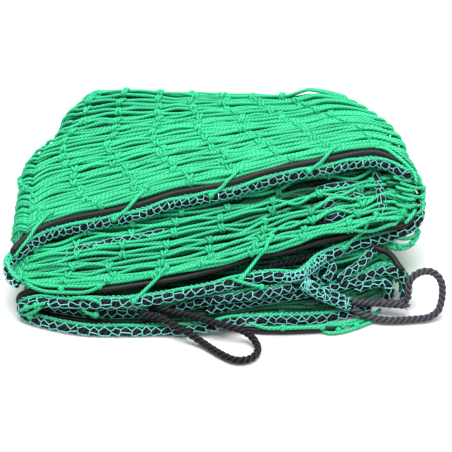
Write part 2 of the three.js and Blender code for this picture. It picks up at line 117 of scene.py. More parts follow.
# Height of a smooth curve through a table of points, carried on straight past its ends
def smoothTable(table, x):
    xs, ys = np.transpose(np.array(table, float))
    low = np.maximum(np.arange(len(xs)) - 1, 0)
    high = np.minimum(np.arange(len(xs)) + 1, len(xs) - 1)
    slope = (ys[high] - ys[low]) / (xs[high] - xs[low])
    x = np.asarray(x, float)
    i = np.clip(np.searchsorted(xs, x, side="left") - 1, 0, len(xs) - 2)
    w = xs[i + 1] - xs[i]
    t = (x - xs[i]) / w
    h = t * t * (3 - 2 * t)
    inside = mix(ys[i], ys[i + 1], h) + w * (slope[i] * t * (1 - t) ** 2 - slope[i + 1] * t * t * (1 - t))
    before = ys[i] + slope[i] * (x - xs[i])
    after = ys[i + 1] + slope[i + 1] * (x - xs[i + 1])
    return np.where(t < 0, before, np.where(t > 1, after, inside))


# Distance from one run to the next, which grows toward the back and the right
def pitchAt(x, y):
    across = np.clip((x - band["leftX"]) / band["width"], 0, 1)
    deep = np.clip((y - band["frontY"]) / band["depth"], 0, 1)
    p = band["pitch"]
    front = mix(p["frontLeft"], p["frontRight"], across)
    return mix(front, mix(p["backLeft"], p["backRight"], across), deep)


# Middle of a run: across goes from left to right, deep from front to back
def runPoint(run, across, deep):
    left = mix(run["leftX"], run["backLeftX"], smoothTable(band["leftTaper"], deep))
    right = mix(run["rightX"], run["backRightX"], np.maximum(deep, 0) ** band["rightTaper"])
    x = mix(left, right, across)
    frontY = smoothTable(run["front"], mix(run["leftX"], run["rightX"], across))
    backLeft, backMiddle, backRight = run["back"]
    backY = smoothTable([(0, backLeft), (0.5, backMiddle), (1, backRight)], across)
    y = mix(frontY, backY, deep)
    pitch = pitchAt(x, y)
    margin = np.maximum(0, 1 - (y - frontY) / band["droopReach"])
    end = np.maximum(0, 1 - (1 - across) / band["endShare"])
    droop = run["droop"] * margin ** 2 * (1 - run["endLift"] * end)
    z = (run["level"] + band["outer"] - droop) * pitch - run["endDrop"] * end ** 2
    return np.stack([x, y, z], -1)


def foldEnds(index, deep):
    end = np.full(np.shape(deep), float(index % 2))
    return runPoint(runs[index], end, deep), runPoint(runs[index + 1], end, deep)


def foldPoint(index, turn, deep):
    upper, lower = foldEnds(index, deep)
    half = (upper - lower) / 2
    point = (upper + lower) / 2 + half * np.cos(math.pi * turn)[..., None]
    side = -1 if index % 2 == 0 else 1
    point[..., 0] += side * band["foldBulge"] * half[..., 2] * np.sin(math.pi * turn)
    return point


def bandMiddle(segment, t, deep):
    index = segment // 2
    if segment % 2:
        return foldPoint(index, t, deep)
    return runPoint(runs[index], 1 - t if index % 2 == 0 else t, deep)


# Point on the band and the outward direction of the plus ply there
def bandFrame(segment, t, deep):
    point = bandMiddle(segment, t, deep)
    step = bandMiddle(segment, t + band["probe"], deep) - bandMiddle(segment, t - band["probe"], deep)
    size = np.hypot(step[..., 0], step[..., 2])
    out = np.stack([step[..., 2] / size, np.zeros_like(size), -step[..., 0] / size], -1)
    press = np.ones_like(size)
    if segment % 2:
        upper, lower = foldEnds(segment // 2, deep)
        share = (upper[..., 2] - lower[..., 2]) / pitchAt(upper[..., 0], upper[..., 1])
        press = band["foldPress"] * np.clip(share, band["leastPress"], 1)
    return point, out, press


segmentStart = np.concatenate([[0], np.cumsum(band["lengths"])]).astype(float)
bandLength = segmentStart[-1]
skirt = 2  # the stretch that hangs over the front


# Meshes from rings of points
class Bundle:
    def __init__(self):
        self.points, self.tone = [], []
        self.quads, self.quadYarn = [], []
        self.tris = []
        self.count = 0

    # Tube through rings[ring, corner]; along is the length so far at each ring
    def addRings(self, rings, along, tone, closed=False):
        n, k = rings.shape[:2]
        self.points.append(rings.reshape(-1, 3))
        self.tone.append(np.repeat(np.broadcast_to(tone, n), k))
        last = n if closed else n - 1
        ring = np.arange(last)[:, None]
        corner = np.arange(k)[None, :]
        a = ring * k + corner
        b = ring * k + (corner + 1) % k
        quads = np.stack([a, b, (b + k) % (n * k), (a + k) % (n * k)], -1)
        self.quads.append(quads.reshape(-1, 4) + self.count)
        stretch = np.append(along, 2 * along[-1] - along[-2])
        start = np.broadcast_to(stretch[:last, None], (last, k))
        stop = np.broadcast_to(stretch[1:last + 1, None], (last, k))
        low = np.broadcast_to(corner / k, (last, k))
        high = low + 1 / k
        yarn = [np.stack(pair, -1) for pair in ((start, low), (start, high), (stop, high), (stop, low))]
        self.quadYarn.append(np.stack(yarn, 2).reshape(-1, 2))
        if not closed:
            fan = np.stack([np.zeros(k - 2, int), np.arange(2, k), np.arange(1, k - 1)], -1)
            self.tris.append(fan + self.count)
            self.tris.append(fan[:, ::-1] + self.count + (n - 1) * k)
        self.count += n * k

    def triangles(self):
        return 2 * sum(len(q) for q in self.quads) + sum(len(t) for t in self.tris)

    # The finished piece, in the place of a solid where node names one
    def build(self, name, material, node=None):
        mesh = bpy.data.meshes.new(name)
        points = np.concatenate(self.points) + padShift
        points[:, 2] = np.maximum(points[:, 2], floorClear)
        quads = np.concatenate(self.quads)
        tris = np.concatenate(self.tris) if self.tris else np.zeros((0, 3), int)
        corners = np.concatenate([quads.reshape(-1), tris.reshape(-1)])
        starts = np.concatenate([np.arange(len(quads)) * 4, len(quads) * 4 + np.arange(len(tris)) * 3])
        mesh.vertices.add(len(points))
        mesh.vertices.foreach_set("co", (points * mm).astype(np.float32).reshape(-1))
        mesh.loops.add(len(corners))
        mesh.loops.foreach_set("vertex_index", corners.astype(np.int32))
        mesh.polygons.add(len(starts))
        mesh.polygons.foreach_set("loop_start", starts.astype(np.int32))
        mesh.update(calc_edges=True)
        yarn = mesh.uv_layers.new(name="yarn")
        places = np.concatenate(self.quadYarn + [np.zeros((tris.size, 2))])
        yarn.data.foreach_set("uv", places.astype(np.float32).reshape(-1))
        # Each point's tone: a random tone per strand, plus painted shade where it is given
        tone = mesh.attributes.new("tone", "FLOAT", "POINT")
        tone.data.foreach_set("value", np.concatenate(self.tone).astype(np.float32))
        mesh.polygons.foreach_set("use_smooth", np.ones(len(starts), bool))
        mesh.materials.append(material)
        piece = addObject(name, mesh)
        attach(piece, "root")
        if node:
            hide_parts(node)
        print(name, self.triangles(), "triangles")
        return piece


def unit(v):
    return v / np.maximum(np.linalg.norm(v, axis=-1, keepdims=True), tiny)


# Points or directions at given places along a route
def alongRoute(at, reach, values):
    return np.stack([np.interp(at, reach, values[:, k]) for k in range(3)], -1)


# Smooth curve through given points, spaced evenly
def smoothRoute(route, step, pieces=24):
    p = np.array(route, float)
    p = np.vstack([2 * p[0] - p[1], p, 2 * p[-1] - p[-2]])
    fine = []
    for i in range(1, len(p) - 2):
        p0, p1, p2, p3 = p[i - 1:i + 3]
        d0, d1, d2 = (max(np.linalg.norm(b - a) ** 0.5, tiny) for a, b in ((p0, p1), (p1, p2), (p2, p3)))
        m1 = ((p1 - p0) / d0 - (p2 - p0) / (d0 + d1) + (p2 - p1) / d1) * d1
        m2 = ((p2 - p1) / d1 - (p3 - p1) / (d1 + d2) + (p3 - p2) / d2) * d1
        t = np.linspace(0, 1, pieces, endpoint=False)[:, None]
        fine.append((2 * t ** 3 - 3 * t ** 2 + 1) * p1 + (t ** 3 - 2 * t ** 2 + t) * m1
                    + (3 * t ** 2 - 2 * t ** 3) * p2 + (t ** 3 - t ** 2) * m2)
    fine = np.vstack(fine + [p[-2:-1]])
    reach = np.concatenate([[0], np.cumsum(np.linalg.norm(np.diff(fine, axis=0), axis=1))])
    count = max(leastSteps, int(round(reach[-1] / step)))
    at = np.linspace(0, reach[-1], count + 1)
    return alongRoute(at, reach, fine), at


# Directions across a route that don't spin: up and side for each point
def routeFrames(points):
    ahead = unit(np.gradient(points, axis=0))
    up = np.zeros_like(points)
    cross = upward
    for i, t in enumerate(ahead):
        cross = cross - t * cross.dot(t)
        size = np.linalg.norm(cross)
        cross = cross / size if size > tiny else np.array([0.0, 1.0, 0.0])
        up[i] = cross
    return ahead, up, np.cross(ahead, up)


def ringsAlong(centres, up, side, radius, sides):
    angles = np.broadcast_to(np.arange(sides) * 2 * math.pi / sides, (len(centres), sides))
    radius = np.broadcast_to(radius, angles.shape)[..., None]
    return (centres[:, None, :] + radius * (np.cos(angles)[..., None] * up[:, None, :]
                                            + np.sin(angles)[..., None] * side[:, None, :]))


def addTube(bundle, centres, reach, radius, sides, tone=0.0):
    _, up, side = routeFrames(centres)
    bundle.addRings(ringsAlong(centres, up, side, radius, sides), reach, tone)


# The part of each direction that is square to a path
def squareTo(ahead, outward):
    return unit(outward - ahead * np.sum(outward * ahead, -1, keepdims=True))


# A tube whose first side faces outward all along
def addFacingTube(bundle, centres, outward, reach, radius, sides, tone):
    ahead = unit(np.gradient(centres, axis=0))
    up = squareTo(ahead, outward)
    bundle.addRings(ringsAlong(centres, up, np.cross(ahead, up), radius, sides), reach, tone)


# Shader nodes and materials; an input is given a plain value or linked to another node's output
def feed(tree, node, inputs):
    for key, value in inputs.items():
        if isinstance(value, bpy.types.NodeSocket):
            tree.links.new(value, node.inputs[key])
        else:
            node.inputs[key].default_value = value


def addNode(tree, kind, place, inputs=None, **settings):
    node = tree.nodes.new(kind)
    node.location = place
    for key, value in settings.items():
        setattr(node, key, value)
    feed(tree, node, inputs or {})
    return node


# Colour and height of a twisted yarn: furrows painted darker than ridges as painted shade in the grooves,
# each strand a little different
grain = {"detail": 3.0, "tones": (0.8, 1.18), "height": 0.3, "roughness": (0.36, 0.6)}


def makeYarnGroup():
    tree = bpy.data.node_groups.new("yarnTone", "ShaderNodeTree")
    sockets = {
        "INPUT": ("Ridge Color", "Furrow Color", "Variation", "Fibre Scale", "Plies", "Turns",
                  "Side Shade"),
        "OUTPUT": ("Color", "Height", "Roughness")}
    for way, labels in sockets.items():
        for label in labels:
            kind = "NodeSocketColor" if "Color" in label else "NodeSocketFloat"
            tree.interface.new_socket(name=label, in_out=way, socket_type=kind)

    def calc(operation, place, *values):
        node = addNode(tree, "ShaderNodeMath", place, dict(enumerate(values)), operation=operation)
        return node.outputs[0]

    def blend(mode, place, factor, a, b):
        inputs = {"Factor": factor, "A": a, "B": b}
        node = addNode(tree, "ShaderNodeMix", place, inputs, data_type="RGBA", blend_type=mode)
        return node.outputs["Result"]

    def remap(place, value, source, target):
        inputs = {"Value": value, "From Min": source[0], "From Max": source[1], "To Min": target[0],
                  "To Max": target[1]}
        return addNode(tree, "ShaderNodeMapRange", place, inputs).outputs["Result"]

    given = addNode(tree, "NodeGroupInput", (-1300, 0)).outputs
    result = addNode(tree, "NodeGroupOutput", (700, 0))
    # Ridges wind round the yarn: turns along it plus the share of the way round
    yarn = addNode(tree, "ShaderNodeUVMap", (-1300, 400), uv_map="yarn").outputs["UV"]
    split = addNode(tree, "ShaderNodeSeparateXYZ", (-1100, 400), {0: yarn}).outputs
    wound = calc("MULTIPLY_ADD", (-900, 400), split["X"], given["Turns"], split["Y"])
    phase = calc("MULTIPLY", (-750, 400), wound, given["Plies"])
    angle = calc("MULTIPLY", (-600, 400), phase, math.pi)
    ridge = calc("ABSOLUTE", (-300, 400), calc("SINE", (-450, 400), angle))
    # The furrow colour is painted shade in the grooves between the plies
    twist = blend("MIX", (-100, 200), ridge, given["Furrow Color"], given["Ridge Color"])
    # Each strand has its own random tone plus painted shade from the tone attribute, and fine fibres run
    # through it
    tone = addNode(tree, "ShaderNodeAttribute", (-900, -300), attribute_name="tone").outputs["Fac"]
    bright = calc("MULTIPLY_ADD", (-500, -200), tone, given["Variation"], 1.0)
    place = addNode(tree, "ShaderNodeTexCoord", (-1100, -500)).outputs["Object"]
    fibre = addNode(tree, "ShaderNodeTexNoise", (-700, -500), {
        "Vector": place, "Scale": given["Fibre Scale"], "Detail": grain["detail"]}).outputs["Fac"]
    fleck = remap((-300, -450), fibre, (0, 1), grain["tones"])
    level = calc("MULTIPLY", (-100, -250), bright, fleck)
    tint = blend("MULTIPLY", (250, 100), 1.0, twist, level)
    # Painted shade at the sides of a strand, darkest under it
    around = calc("MULTIPLY", (-900, 650), split["Y"], 2 * math.pi)
    outside = calc("COSINE", (-750, 650), around)
    below = remap((-600, 650), outside, (1, -1), (0, 1))
    shaded = calc("MULTIPLY", (-400, 650), below, given["Side Shade"])
    lit = calc("SUBTRACT", (-200, 650), 1.0, shaded)
    feed(tree, result, {
        "Color": blend("MULTIPLY", (480, 250), 1.0, tint, lit),
        "Height": calc("MULTIPLY_ADD", (250, -200), fibre, grain["height"], ridge),
        "Roughness": remap((250, -450), fibre, (0, 1), grain["roughness"])})
    return tree


yarnGroup = makeYarnGroup()


def makeYarn(name, look):
    material = bpy.data.materials.new(name)
    material.use_nodes = True
    tree = material.node_tree
    yarn = addNode(tree, "ShaderNodeGroup", (-500, 200), node_tree=yarnGroup)
    feed(tree, yarn, {
        "Ridge Color": (*look["ridge"], 1), "Furrow Color": (*look["furrow"], 1),
        "Variation": look["variation"], "Fibre Scale": look["fibre"], "Plies": look["plies"],
        "Turns": 1 / look["lay"], "Side Shade": look["sideShade"]})
    bump = addNode(tree, "ShaderNodeBump", (-250, -200), {
        "Strength": look["bump"], "Distance": look["relief"] * mm, "Height": yarn.outputs["Height"]})
    feed(tree, tree.nodes["Principled BSDF"], {
        "Base Color": yarn.outputs["Color"], "Roughness": yarn.outputs["Roughness"],
        "Normal": bump.outputs["Normal"], "Specular IOR Level": look["gloss"]})
    return material


twineLook = {
    "ridge": (0.046, 0.72, 0.338), "furrow": (0.004, 0.42, 0.195), "variation": 0.08, "fibre": 900.0,
    "plies": 3.0, "lay": 12.0, "bump": 0.8, "relief": 0.7, "gloss": 0.35, "sideShade": 0.4}
ropeLook = {
    "ridge": (0.030, 0.026, 0.038), "furrow": (0.004, 0.0035, 0.005), "variation": 0.2, "fibre": 1100.0,
    "plies": 5.0, "lay": 34.0, "bump": 0.8, "relief": 0.35, "gloss": 0.15, "sideShade": 0.85}
twineMaterial = makeYarn("greenTwine", twineLook)
ropeMaterial = makeYarn("blackRope", ropeLook)
# Same rope as blackRope, painted lighter as a lit copy for the open eyes and tail; the sewn rope's darker
# colours stand for the shade of its stitches
eyeMaterial = makeYarn("openRopeLitCopy", {
    **ropeLook, "ridge": (0.115, 0.113, 0.142), "furrow": (0.005, 0.005, 0.008), "gloss": 0.25,
    "sideShade": 0.88})
tipMaterial = makeYarn("cutTwine", {
    **twineLook, "ridge": (0.62, 0.84, 0.60), "furrow": (0.36, 0.62, 0.38), "bump": 0.5, "relief": 0.4,
    "gloss": 0.4, "sideShade": 0.2})
threadMaterial = makeYarn("turquoiseThread", {
    "ridge": (0.23, 0.80, 0.72), "furrow": (0.14, 0.64, 0.57), "variation": 0.25, "fibre": 1500.0,
    "plies": 2.0, "lay": 4.0, "bump": 0.3, "relief": 0.2, "gloss": 0.4, "sideShade": 0.2})
elasticMaterial = makeYarn("blackElastic", {
    "ridge": (0.0095, 0.007, 0.0085), "furrow": (0.006, 0.0045, 0.0055), "variation": 0.1, "fibre": 1800.0,
    "plies": 16.0, "lay": 22.0, "bump": 0.4, "relief": 0.15, "gloss": 0.32, "sideShade": 0.0})


# The knotted net
net = {
    "twine": 1.85, "sides": 6, "fineStep": 4.2, "coarseStep": 9.0, "endGap": 6.0, "foldGap": 2.0,
    "innerSink": [2.0, 2.0, 6, 5, 5, 5, 5, 5, 5], "innerSides": 5, "innerShift": 0.5,
    "outerPaintedShade": [0, 0, -1.4, -1, -10.5, -1, -8, -1, -8],  # by stretch: painted shade, darker on the skirt and darkest inside the pack
    # painted shade on the inner layer, darkest inside the pack
    "innerPaintedShade": [-0.6, -2, -7.0, -7, -10.5, -7, -10.5, -7, -10.5],
    "backPaintedShade": -4.0, "fadeLanes": 6, "lightLanes": 4, "lastLight": 60.0,  # the painted shade eases off at the back and fades out at the last end
    "slant": [(0, 0.32), (174, 0.05), (348, -0.45), (386, -0.4), (440, 0)],  # strands rise toward the right
    "swell": [(0, 0), (20, 1), (44, 2.5), (73, -4.5), (110, -4), (152, -3.3), (239, -1.2), (305, 2),
              (348, 0)],
    "lanes": 33, "backLanes": 3, "seenBack": 2, "backAngle": 26.0, "frontLanesOver": 3, "frontAngle": 27.0,
    "bar": 45.0, "firstKnot": 14.0, "skew": 2.0, "knotJitter": 2.8, "knotGap": 8.0,
    "crowdFrom": 1.3, "crowdSink": 7.0, "tightSink": 13.0, "inset": 2.3, "leastFar": 0.5,
    "phases": 6, "wander": 0.12, "wanderWaves": ((23, 1.0), (11, 0.6)), "lift": 0.65,
    "liftWaves": ((31, 0.8), (13, 0.6)), "ease": 0.6, "bow": 0.36, "mostBow": 0.6,
    "touch": [0.72, 0.7, 0.6, 0.55, 0.55, 0.55, 0.55, 0.6, 0.7],  # pair spacing at a knot, in lanes
    "spread": [1.0, 1.1, 1.2, 1.0, 1.2, 1.2, 1.2, 1.1, 1.0],  # more strands toward the front above 1
    "knotWide": 1.5, "knotHigh": 2.5, "knotApart": 1.4, "knotLean": 1.2, "knotLeans": (-1.0, 1.6),
    "knotTwine": 1.8, "knotSteps": 10, "knotProbe": 2.0,
    "endTurn": 9.0, "endReach": -17.0, "closeSteps": 6, "flatPitch": 5.2, "seed": 11,
    "looseFrom": 0.5, "looseTo": 0.72, "looseEnd": 1.1, "looseBow": 2.3,  # the skirt opens at its right
    # where the skirt opens its strands sink and get painted shade
    "openSink": 14.0, "partSink": 6.0, "frontLanes": 4, "openPaintedShade": -4.5, "partPaintedShade": -4.5,
}
# Lanes made in full detail on each stretch of the band: from the front, and round the back
seenLanes = {
    1: [40, 40, 0, 0, 6, 40, 11, 0, 4],
    -1: [5, 7, 23, 40, 6, 7, 11, 40, 4],
}
rng = np.random.default_rng(net["seed"])
laneCount = net["lanes"] + net["backLanes"]
rowCount = int(bandLength / net["bar"]) + 2
segmentMiddle = (segmentStart[:-1] + segmentStart[1:]) / 2


def bySegment(values, reach):
    return np.interp(reach, segmentMiddle, values)


def segmentAt(reach):
    return np.clip(np.searchsorted(segmentStart, reach, side="right") - 1, 0, len(band["lengths"]) - 1)


def waves(reach, parts, phases):
    return sum(size * np.sin(reach / length + phase) for (length, size), phase in zip(parts, phases))


# How far the skirt has opened at a place along the band
def openAt(reach):
    share = (reach - segmentStart[skirt]) / band["lengths"][skirt]
    return np.interp(share, [net["looseFrom"], net["looseTo"], 1.0, net["looseEnd"]], [0, 1, 1, 0])


class Ply:
    def __init__(self, side, inner=False):
        self.side = side
        self.inner = inner
        self.jitter = rng.normal(0, net["knotJitter"], (rowCount, laneCount + 2))
        self.phase = rng.uniform(0, 2 * math.pi, (laneCount, net["phases"]))
        self.tone = rng.normal(0, 1, laneCount)
        bow = rng.normal(0, net["bow"], (laneCount, rowCount))
        self.bow = np.clip(bow, -net["mostBow"], net["mostBow"])

    # Rows where a strand is knotted, and the lane it is pulled to there
    def knotRows(self, lane):
        rows = []
        for k in range(rowCount):
            pair = (lane + k % 2) // 2
            first = 2 * pair - k % 2
            centre = first + 0.5
            reach = net["firstKnot"] + net["bar"] * k + net["skew"] * centre + self.jitter[k, pair]
            half = 0.5 * bySegment(net["touch"], reach)
            rows.append((reach, centre + (half if lane > first else -half)))
        return np.array(rows)

    def laneAt(self, lane, reach):
        rows = self.knotRows(lane)
        i = np.clip(np.searchsorted(rows[:, 0], reach) - 1, 0, len(rows) - 2)
        t = np.clip((reach - rows[i, 0]) / (rows[i + 1, 0] - rows[i, 0]), 0, 1)
        eased = mix(t, t * t * (3 - 2 * t), net["ease"])
        away = np.sin(math.pi * t)
        wave = waves(reach, net["wanderWaves"], self.phase[lane, :2])
        bend = net["wander"] * wave + self.bow[lane, i] * away * (1 + net["looseBow"] * openAt(reach))
        shift = net["innerShift"] if self.inner else 0.0
        return mix(rows[i, 1], rows[i + 1, 1], eased) + bend * away + shift

    # Strands below the surface: the inner layer, every other pair where they crowd or where the skirt opens
    def sinkAt(self, lane, reach, crowd, tight):
        if self.inner:
            sink = bySegment(net["innerSink"], reach) + net["openSink"] * openAt(reach)
            return sink + net["tightSink"] * (1 - tight)
        if lane // 2 % 2:
            part = net["partSink"] if lane >= net["frontLanes"] else 0.0
            return net["crowdSink"] * crowd + part * openAt(reach)
        return np.zeros(len(reach))

    # Each strand's random tone plus painted shade: dark inside the pack, on hidden stretches and where the
    # skirt opens, easing off at the back and fading out at the last end
    def toneAndPaintedShadeAt(self, lane, reach, hidden):
        front = np.clip((net["lanes"] - net["lightLanes"] - lane) / net["fadeLanes"], 0, 1)
        if self.inner:
            tone = bySegment(net["innerPaintedShade"], reach) + net["openPaintedShade"] * openAt(reach)
            tone = mix(net["backPaintedShade"], tone, front)
        else:
            part = net["partPaintedShade"] * openAt(reach) if lane // 2 % 2 and lane >= net["frontLanes"] else 0.0
            tone = (bySegment(net["outerPaintedShade"], reach) + part) * front
            tone = np.where(hidden, bySegment(net["innerPaintedShade"], reach), tone)
        return self.tone[lane] + tone * np.clip((bandLength - reach) / net["lastLight"], 0, 1)

    def riseAt(self, lane, reach):
        return net["lift"] * waves(reach, net["liftWaves"], self.phase[lane, 2:])

    # Centres of a strand and its outward direction; before the start of the band it turns down over the end
    def place(self, lane, reach):
        centres, outward = self.placeOnBand(lane, np.maximum(reach, 0.0))
        over = np.maximum(-reach, 0.0)[:, None] / net["endTurn"]
        if over.any():
            ahead = np.array([1.0, 0.0, 0.0])
            centres = centres + net["endTurn"] * (ahead * np.sin(over) - outward * (1 - np.cos(over)))
            outward = outward * np.cos(over) + ahead * np.sin(over)
        return centres, outward

    def placeOnBand(self, lane, reach):
        laneHere = self.laneAt(lane, reach)
        rise = self.riseAt(lane, reach)
        segments = segmentAt(reach)
        centres = np.zeros((len(reach), 3))
        outward = np.zeros((len(reach), 3))
        last = net["lanes"] - 1
        turn = np.radians(np.maximum(0, laneHere - last) * net["backAngle"])
        share = np.minimum(laneHere, last) / last
        column = 0 if self.side > 0 else 1
        for segment in range(len(band["lengths"])):
            here = segments == segment
            if not here.any():
                continue
            t = (reach[here] - segmentStart[segment]) / band["lengths"][segment]
            run = runs[segment // 2]
            back = np.full(t.shape, run["setBack"][column])
            if segment % 2:
                back = mix(run["setBack"][column], runs[segment // 2 + 1]["setBack"][column], t)
            power = bySegment(net["spread"], reach[here])
            shareHere, fore = share[here], np.zeros(t.shape)
            if segment in (skirt, skirt + 1) and self.side < 0:  # its first strands lie over its front edge
                fore = np.radians(np.maximum(0, -laneHere[here]) * net["frontAngle"])
                shareHere = np.maximum(shareHere, 0)
            even = np.sign(shareHere) * np.abs(shareHere) ** power
            slant = np.interp(reach[here], *np.transpose(net["slant"]))
            tight = 1 - np.maximum(slant, 0) * np.clip(2 * even - 1, 0, 1)  # the back right is crowded
            even = even + slant * even * (1 - even)
            deep = back + (1 - back) * even
            point, out, press = bandFrame(segment, t, deep)
            pitch = pitchAt(point[:, 0], point[:, 1])
            span = bandMiddle(segment, t, np.ones(t.shape)) - bandMiddle(segment, t, back)
            spacing = tight * np.linalg.norm(span, axis=-1) / last / (2 * net["twine"])
            crowd = np.clip(net["crowdFrom"] - spacing, 0, 1)
            sink = self.sinkAt(lane, reach[here], crowd, tight)
            far = band["outer"] * pitch * press - net["inset"] - sink
            far = np.maximum(far, net["leastFar"]) + rise[here]
            if segment == 0 and self.side > 0:  # the back of the top sags and swells
                far += np.interp(reach[here], *np.transpose(net["swell"])) * np.clip(even, 0, 1) ** 2
            level = np.cos(turn[here]) * np.cos(fore)
            point += self.side * out * (far * level)[:, None]
            backReach = band["backRound"] * band["outer"] * pitch - net["inset"] - sink
            point[:, 1] += backReach * np.sin(turn[here]) - far * np.sin(fore)
            centres[here] = point
            facing = self.side * out * level[:, None]
            facing[:, 1] += np.sin(turn[here]) - np.sin(fore)
            outward[here] = facing
        return centres, outward

    def isSeen(self, lane, reach):
        return lane < seenLanes[self.side][segmentAt(reach)] or lane >= net["lanes"] - net["seenBack"]


# Places along the band where a strand is drawn, closer together where it shows
def strandSteps(ply, lane):
    first, last = net["endGap"], bandLength - net["endGap"]
    if ply.inner:
        return np.arange(first, last, net["coarseStep"])
    if lane < 0:
        first, last = segmentStart[skirt] + net["foldGap"], segmentStart[skirt + 2] - net["foldGap"]
        return np.arange(first, last, net["fineStep"])
    steps = [net["endReach"] if ply.side > 0 else first]
    while steps[-1] < last:
        fine = ply.isSeen(lane, steps[-1])
        steps.append(steps[-1] + (net["fineStep"] if fine else net["coarseStep"]))
    return np.array(steps)


# The last end is closed by strands that turn down to the floor
def turnDown(centres, outward, reach, tone):
    over = np.linspace(0, math.pi, net["closeSteps"] + 1)[1:, None]
    half = max((centres[-1, 2] - net["twine"] - floorClear) / 2, net["twine"])
    ahead = np.array([-1.0, 0.0, 0.0])
    turned = centres[-1] + half * (ahead * np.sin(over) - upward * (1 - np.cos(over)))
    return (np.vstack([centres, turned]),
            np.vstack([outward, np.cos(over) * upward + ahead * np.sin(over)]),
            np.concatenate([reach, reach[-1] + half * over[:, 0]]),
            np.concatenate([tone, np.full(len(over), tone[-1])]))


def addStrand(bundle, ply, lane):
    reach = strandSteps(ply, lane)
    centres, outward = ply.place(lane, reach)
    hidden = np.array([not ply.isSeen(lane, r) for r in reach])
    tone = ply.toneAndPaintedShadeAt(lane, reach, hidden)
    if ply.side > 0 and not ply.inner:
        centres, outward, reach, tone = turnDown(centres, outward, reach, tone)
    sides = net["innerSides"] if ply.inner else net["sides"]
    addFacingTube(bundle, centres, outward, reach, net["twine"], sides, tone)
    return np.sum(np.linalg.norm(np.diff(centres, axis=0), axis=1))


# A knot is two turns of twine side by side round the pair of strands, leaning against each other
def addKnot(bundle, ply, lane, reach, leans):
    near = reach + net["knotProbe"] * np.array([-1, 0, 1])
    one, facing = ply.place(lane, near)
    two, _ = ply.place(lane + 1, near)
    ahead = unit(one[2] - one[0] + two[2] - two[0])
    across = unit(two[1] - one[1])
    up = unit(np.cross(ahead, across))
    if up.dot(facing[1]) < 0:
        up = -up
    centre = (one[1] + two[1]) / 2
    wide = np.linalg.norm(two[1] - one[1]) / 2 + net["knotWide"]
    turn = np.linspace(0, 2 * math.pi, net["knotSteps"], endpoint=False)
    tone = ply.toneAndPaintedShadeAt(lane, np.array([reach]), False)[0]
    for sign, lean in zip((1, -1), leans):
        apart = sign * (net["knotApart"] + net["knotLean"] * lean * np.cos(turn))
        high = net["knotHigh"] * np.sin(turn)
        path = (centre + across * (wide * np.cos(turn))[:, None] + up * high[:, None]
                + ahead * apart[:, None])
        forward = unit(np.roll(path, -1, 0) - np.roll(path, 1, 0))
        out = squareTo(forward, unit(path - centre))
        rings = ringsAlong(path, out, np.cross(forward, out), net["knotTwine"], net["sides"])
        bundle.addRings(rings, turn * wide, tone, closed=True)


def addKnots(bundle, ply, lane):
    first, last = segmentStart[skirt:skirt + 2] if lane < 0 else (0, bandLength)
    for k in range(lane % 2, rowCount, 2):
        reach = ply.knotRows(lane)[k, 0]
        if first + net["knotGap"] < reach < last - net["knotGap"] and ply.isSeen(lane, reach):
            addKnot(bundle, ply, lane, reach, rng.uniform(*net["knotLeans"], 2))


outerPlies = {}


def buildNet():
    for side, label in ((1, "upper"), (-1, "under")):
        ply = Ply(side)
        outerPlies[side] = ply
        inner = Ply(side, inner=True)
        half = laneCount // 2
        for part, lanes in (("front", range(0, half)), ("back", range(half, laneCount))):
            bundle = Bundle()
            length = sum(addStrand(bundle, layer, lane) for layer in (ply, inner) for lane in lanes)
            over = list(range(-net["frontLanesOver"], 0)) if side < 0 and part == "front" else []
            length += sum(addStrand(bundle, ply, lane) for lane in over)
            for lane in over + list(lanes):
                if lane + 1 < laneCount:
                    addKnots(bundle, ply, lane)
            piece = bundle.build("net_" + label + "_" + part, twineMaterial, "net")


buildNet()


